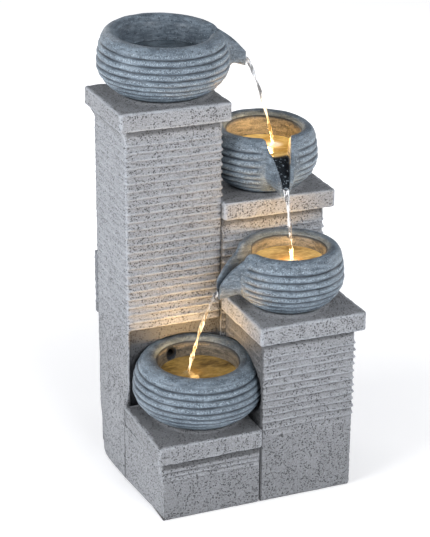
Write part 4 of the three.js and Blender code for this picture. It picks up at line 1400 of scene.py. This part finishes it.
class FOUNTAIN_OT_glow(bpy.types.Operator):
    """Adds the warm light that leaves the three lit bowls, and the wash it throws on the stone above"""

    bl_idname = "fountain.glow"
    bl_label = "Bowl Glow"

    def execute(self, context):
        _, look, water = settings()
        for name, inside, wash, towards in (
            ("second", 0.45, 0.15, (-0.4, 0.3, 0.8)), ("third", 0.35, 0.14, (-0.3, 0.5, 0.8)),
            ("bottom", 0.05, 0.5, (0.0, 0.25, 1.0)),
        ):
            bowl = Bowl(name)
            spot = landing(bowl, look)
            x, y = bowl.x * 0.6 + spot.x * 0.4, bowl.y * 0.6 + spot.y * 0.4
            place = (x, y, bowl.base + bowl.level(water) + 8 * MM)
            power = water.lamp_power
            add_light(f"glow_{name}", "POINT", power * inside, place, water.glow, shadow_soft_size=7 * MM)
            place = (x, y, bowl.base + bowl.height + 1 * MM)
            lamp = add_light(f"wash_{name}", "AREA", power * wash, place, water.glow, size=60 * MM)
            lamp.rotation_euler = Vector(towards).to_track_quat("-Z", "Y").to_euler()
        return {"FINISHED"}


class FOUNTAIN_OT_studio(bpy.types.Operator):
    """Makes the pale floor, the soft lights round the object and the surrounding light"""

    bl_idname = "fountain.studio"
    bl_label = "Studio"

    def execute(self, context):
        bm = bmesh.new()
        bmesh.ops.create_circle(bm, cap_ends=True, segments=96, radius=9.0)
        floor = piece_from(bm, "studio_floor", self.pale_floor(), None)
        middle = Vector((0.0, 0.0, 0.25))
        for name, place, size, energy in (
            ("soft_left", (-1.8, -0.45, 0.95), 1.1, 30.5),
            ("soft_front", (0.35, -1.9, 1.35), 1.0, 27.0),
            ("soft_right", (1.8, -0.1, 0.7), 1.0, 10.0),
            ("soft_back", (-0.3, 1.9, 1.2), 1.2, 12.0),
        ):
            lamp = add_light(name, "AREA", energy, place, (1.0, 1.0, 1.0), size=size)
            lamp.rotation_euler = (middle - lamp.location).to_track_quat("-Z", "Y").to_euler()
        world = bpy.data.worlds.new("Studio")
        world.use_nodes = True
        world.node_tree.nodes["Background"].inputs["Color"].default_value = (0.93, 0.95, 1.0, 1.0)
        world.node_tree.nodes["Background"].inputs["Strength"].default_value = 0.30
        bpy.context.scene.world = world
        bpy.context.scene.view_settings.view_transform = "Standard"
        return {"FINISHED"}

    def pale_floor(self):
        f = Finish("Pale Floor", Specular_IOR_Level=0.1, Emission_Strength=0.60)
        mottle = f.noise(3.0, 2.0)
        f.set("Base Color", mottle.between(0.3, 0.7).blend((0.86, 0.86, 0.865), (0.88, 0.88, 0.88)))
        f.set("Roughness", 0.85)
        near = f.start.node("ShaderNodeTexGradient", {"gradient_type": "SPHERICAL"},
                            {"Vector": f.stretched((0.8, 0.8, 1.0))}, output=1)
        # Painted shade: the floor's glow dims towards the object's foot, so a soft shadow shows round it.
        f.set("Emission Color", near.between(0.15, 0.85).blend((1.0, 1.0, 1.0), (0.42, 0.42, 0.43)))
        return f.material


VIEW_ANGLES = (-22.444, 22.327, 0.385)  # azimuth, elevation and roll, in degrees
VIEW_TARGET = (-14.8 * MM, -5.7 * MM, 251.45 * MM)
VIEW_DISTANCE = 1.9535


class FOUNTAIN_OT_camera(bpy.types.Operator):
    """Sets the camera in front of the fountain, a little above and to the left"""

    bl_idname = "fountain.camera"
    bl_label = "Camera"

    def execute(self, context):
        azimuth, elevation, roll = (math.radians(a) for a in VIEW_ANGLES)
        back = Vector((math.sin(azimuth) * math.cos(elevation), -math.cos(azimuth) * math.cos(elevation),
                       math.sin(elevation)))
        right = Vector((0.0, 0.0, 1.0)).cross(back).normalized()
        up = back.cross(right)
        right, up = (
            right * math.cos(roll) + up * math.sin(roll), up * math.cos(roll) - right * math.sin(roll))
        data = bpy.data.cameras.new("camera")
        data.lens = 114.4
        data.sensor_width = 36.0
        camera = bpy.data.objects.new("camera", data)
        turn = Matrix((right, up, back)).transposed().to_4x4()
        camera.matrix_world = Matrix.Translation(Vector(VIEW_TARGET) + back * VIEW_DISTANCE) @ turn
        context.scene.collection.objects.link(camera)
        context.scene.camera = camera
        return {"FINISHED"}


class FOUNTAIN_PT_panel(bpy.types.Panel):
    """Lists the fountain's pieces and their settings"""

    bl_idname = "FOUNTAIN_PT_panel"
    bl_label = "Bowl Fountain"
    bl_space_type = "VIEW_3D"
    bl_region_type = "UI"
    bl_category = "Fountain"

    def draw(self, context):
        for group in ("fountain_stone", "fountain_bowl", "fountain_water"):
            owner = getattr(context.scene, group)
            box = self.layout.box()
            for key in owner.__annotations__:
                box.prop(owner, key)
        for step in STEPS:
            self.layout.operator(f"fountain.{step}")


STEPS = ("camera", "columns", "caps", "door", "bowls", "water", "fittings", "glow", "studio")
GROUPS = {"fountain_stone": StoneSettings, "fountain_bowl": BowlSettings, "fountain_water": WaterSettings}
CLASSES = (
    *GROUPS.values(), FOUNTAIN_OT_camera, FOUNTAIN_OT_columns, FOUNTAIN_OT_caps, FOUNTAIN_OT_door,
    FOUNTAIN_OT_bowls, FOUNTAIN_OT_water, FOUNTAIN_OT_fittings, FOUNTAIN_OT_glow, FOUNTAIN_OT_studio,
    FOUNTAIN_PT_panel,
)


def register():
    for cls in CLASSES:
        bpy.utils.register_class(cls)
    for key, group in GROUPS.items():
        setattr(bpy.types.Scene, key, bpy.props.PointerProperty(type=group))


def unregister():
    for key in GROUPS:
        delattr(bpy.types.Scene, key)
    for cls in reversed(CLASSES):
        bpy.utils.unregister_class(cls)


def main():
    register()
    for step in STEPS:
        getattr(bpy.ops.fountain, step)()


if __name__ == "__main__":
    main()
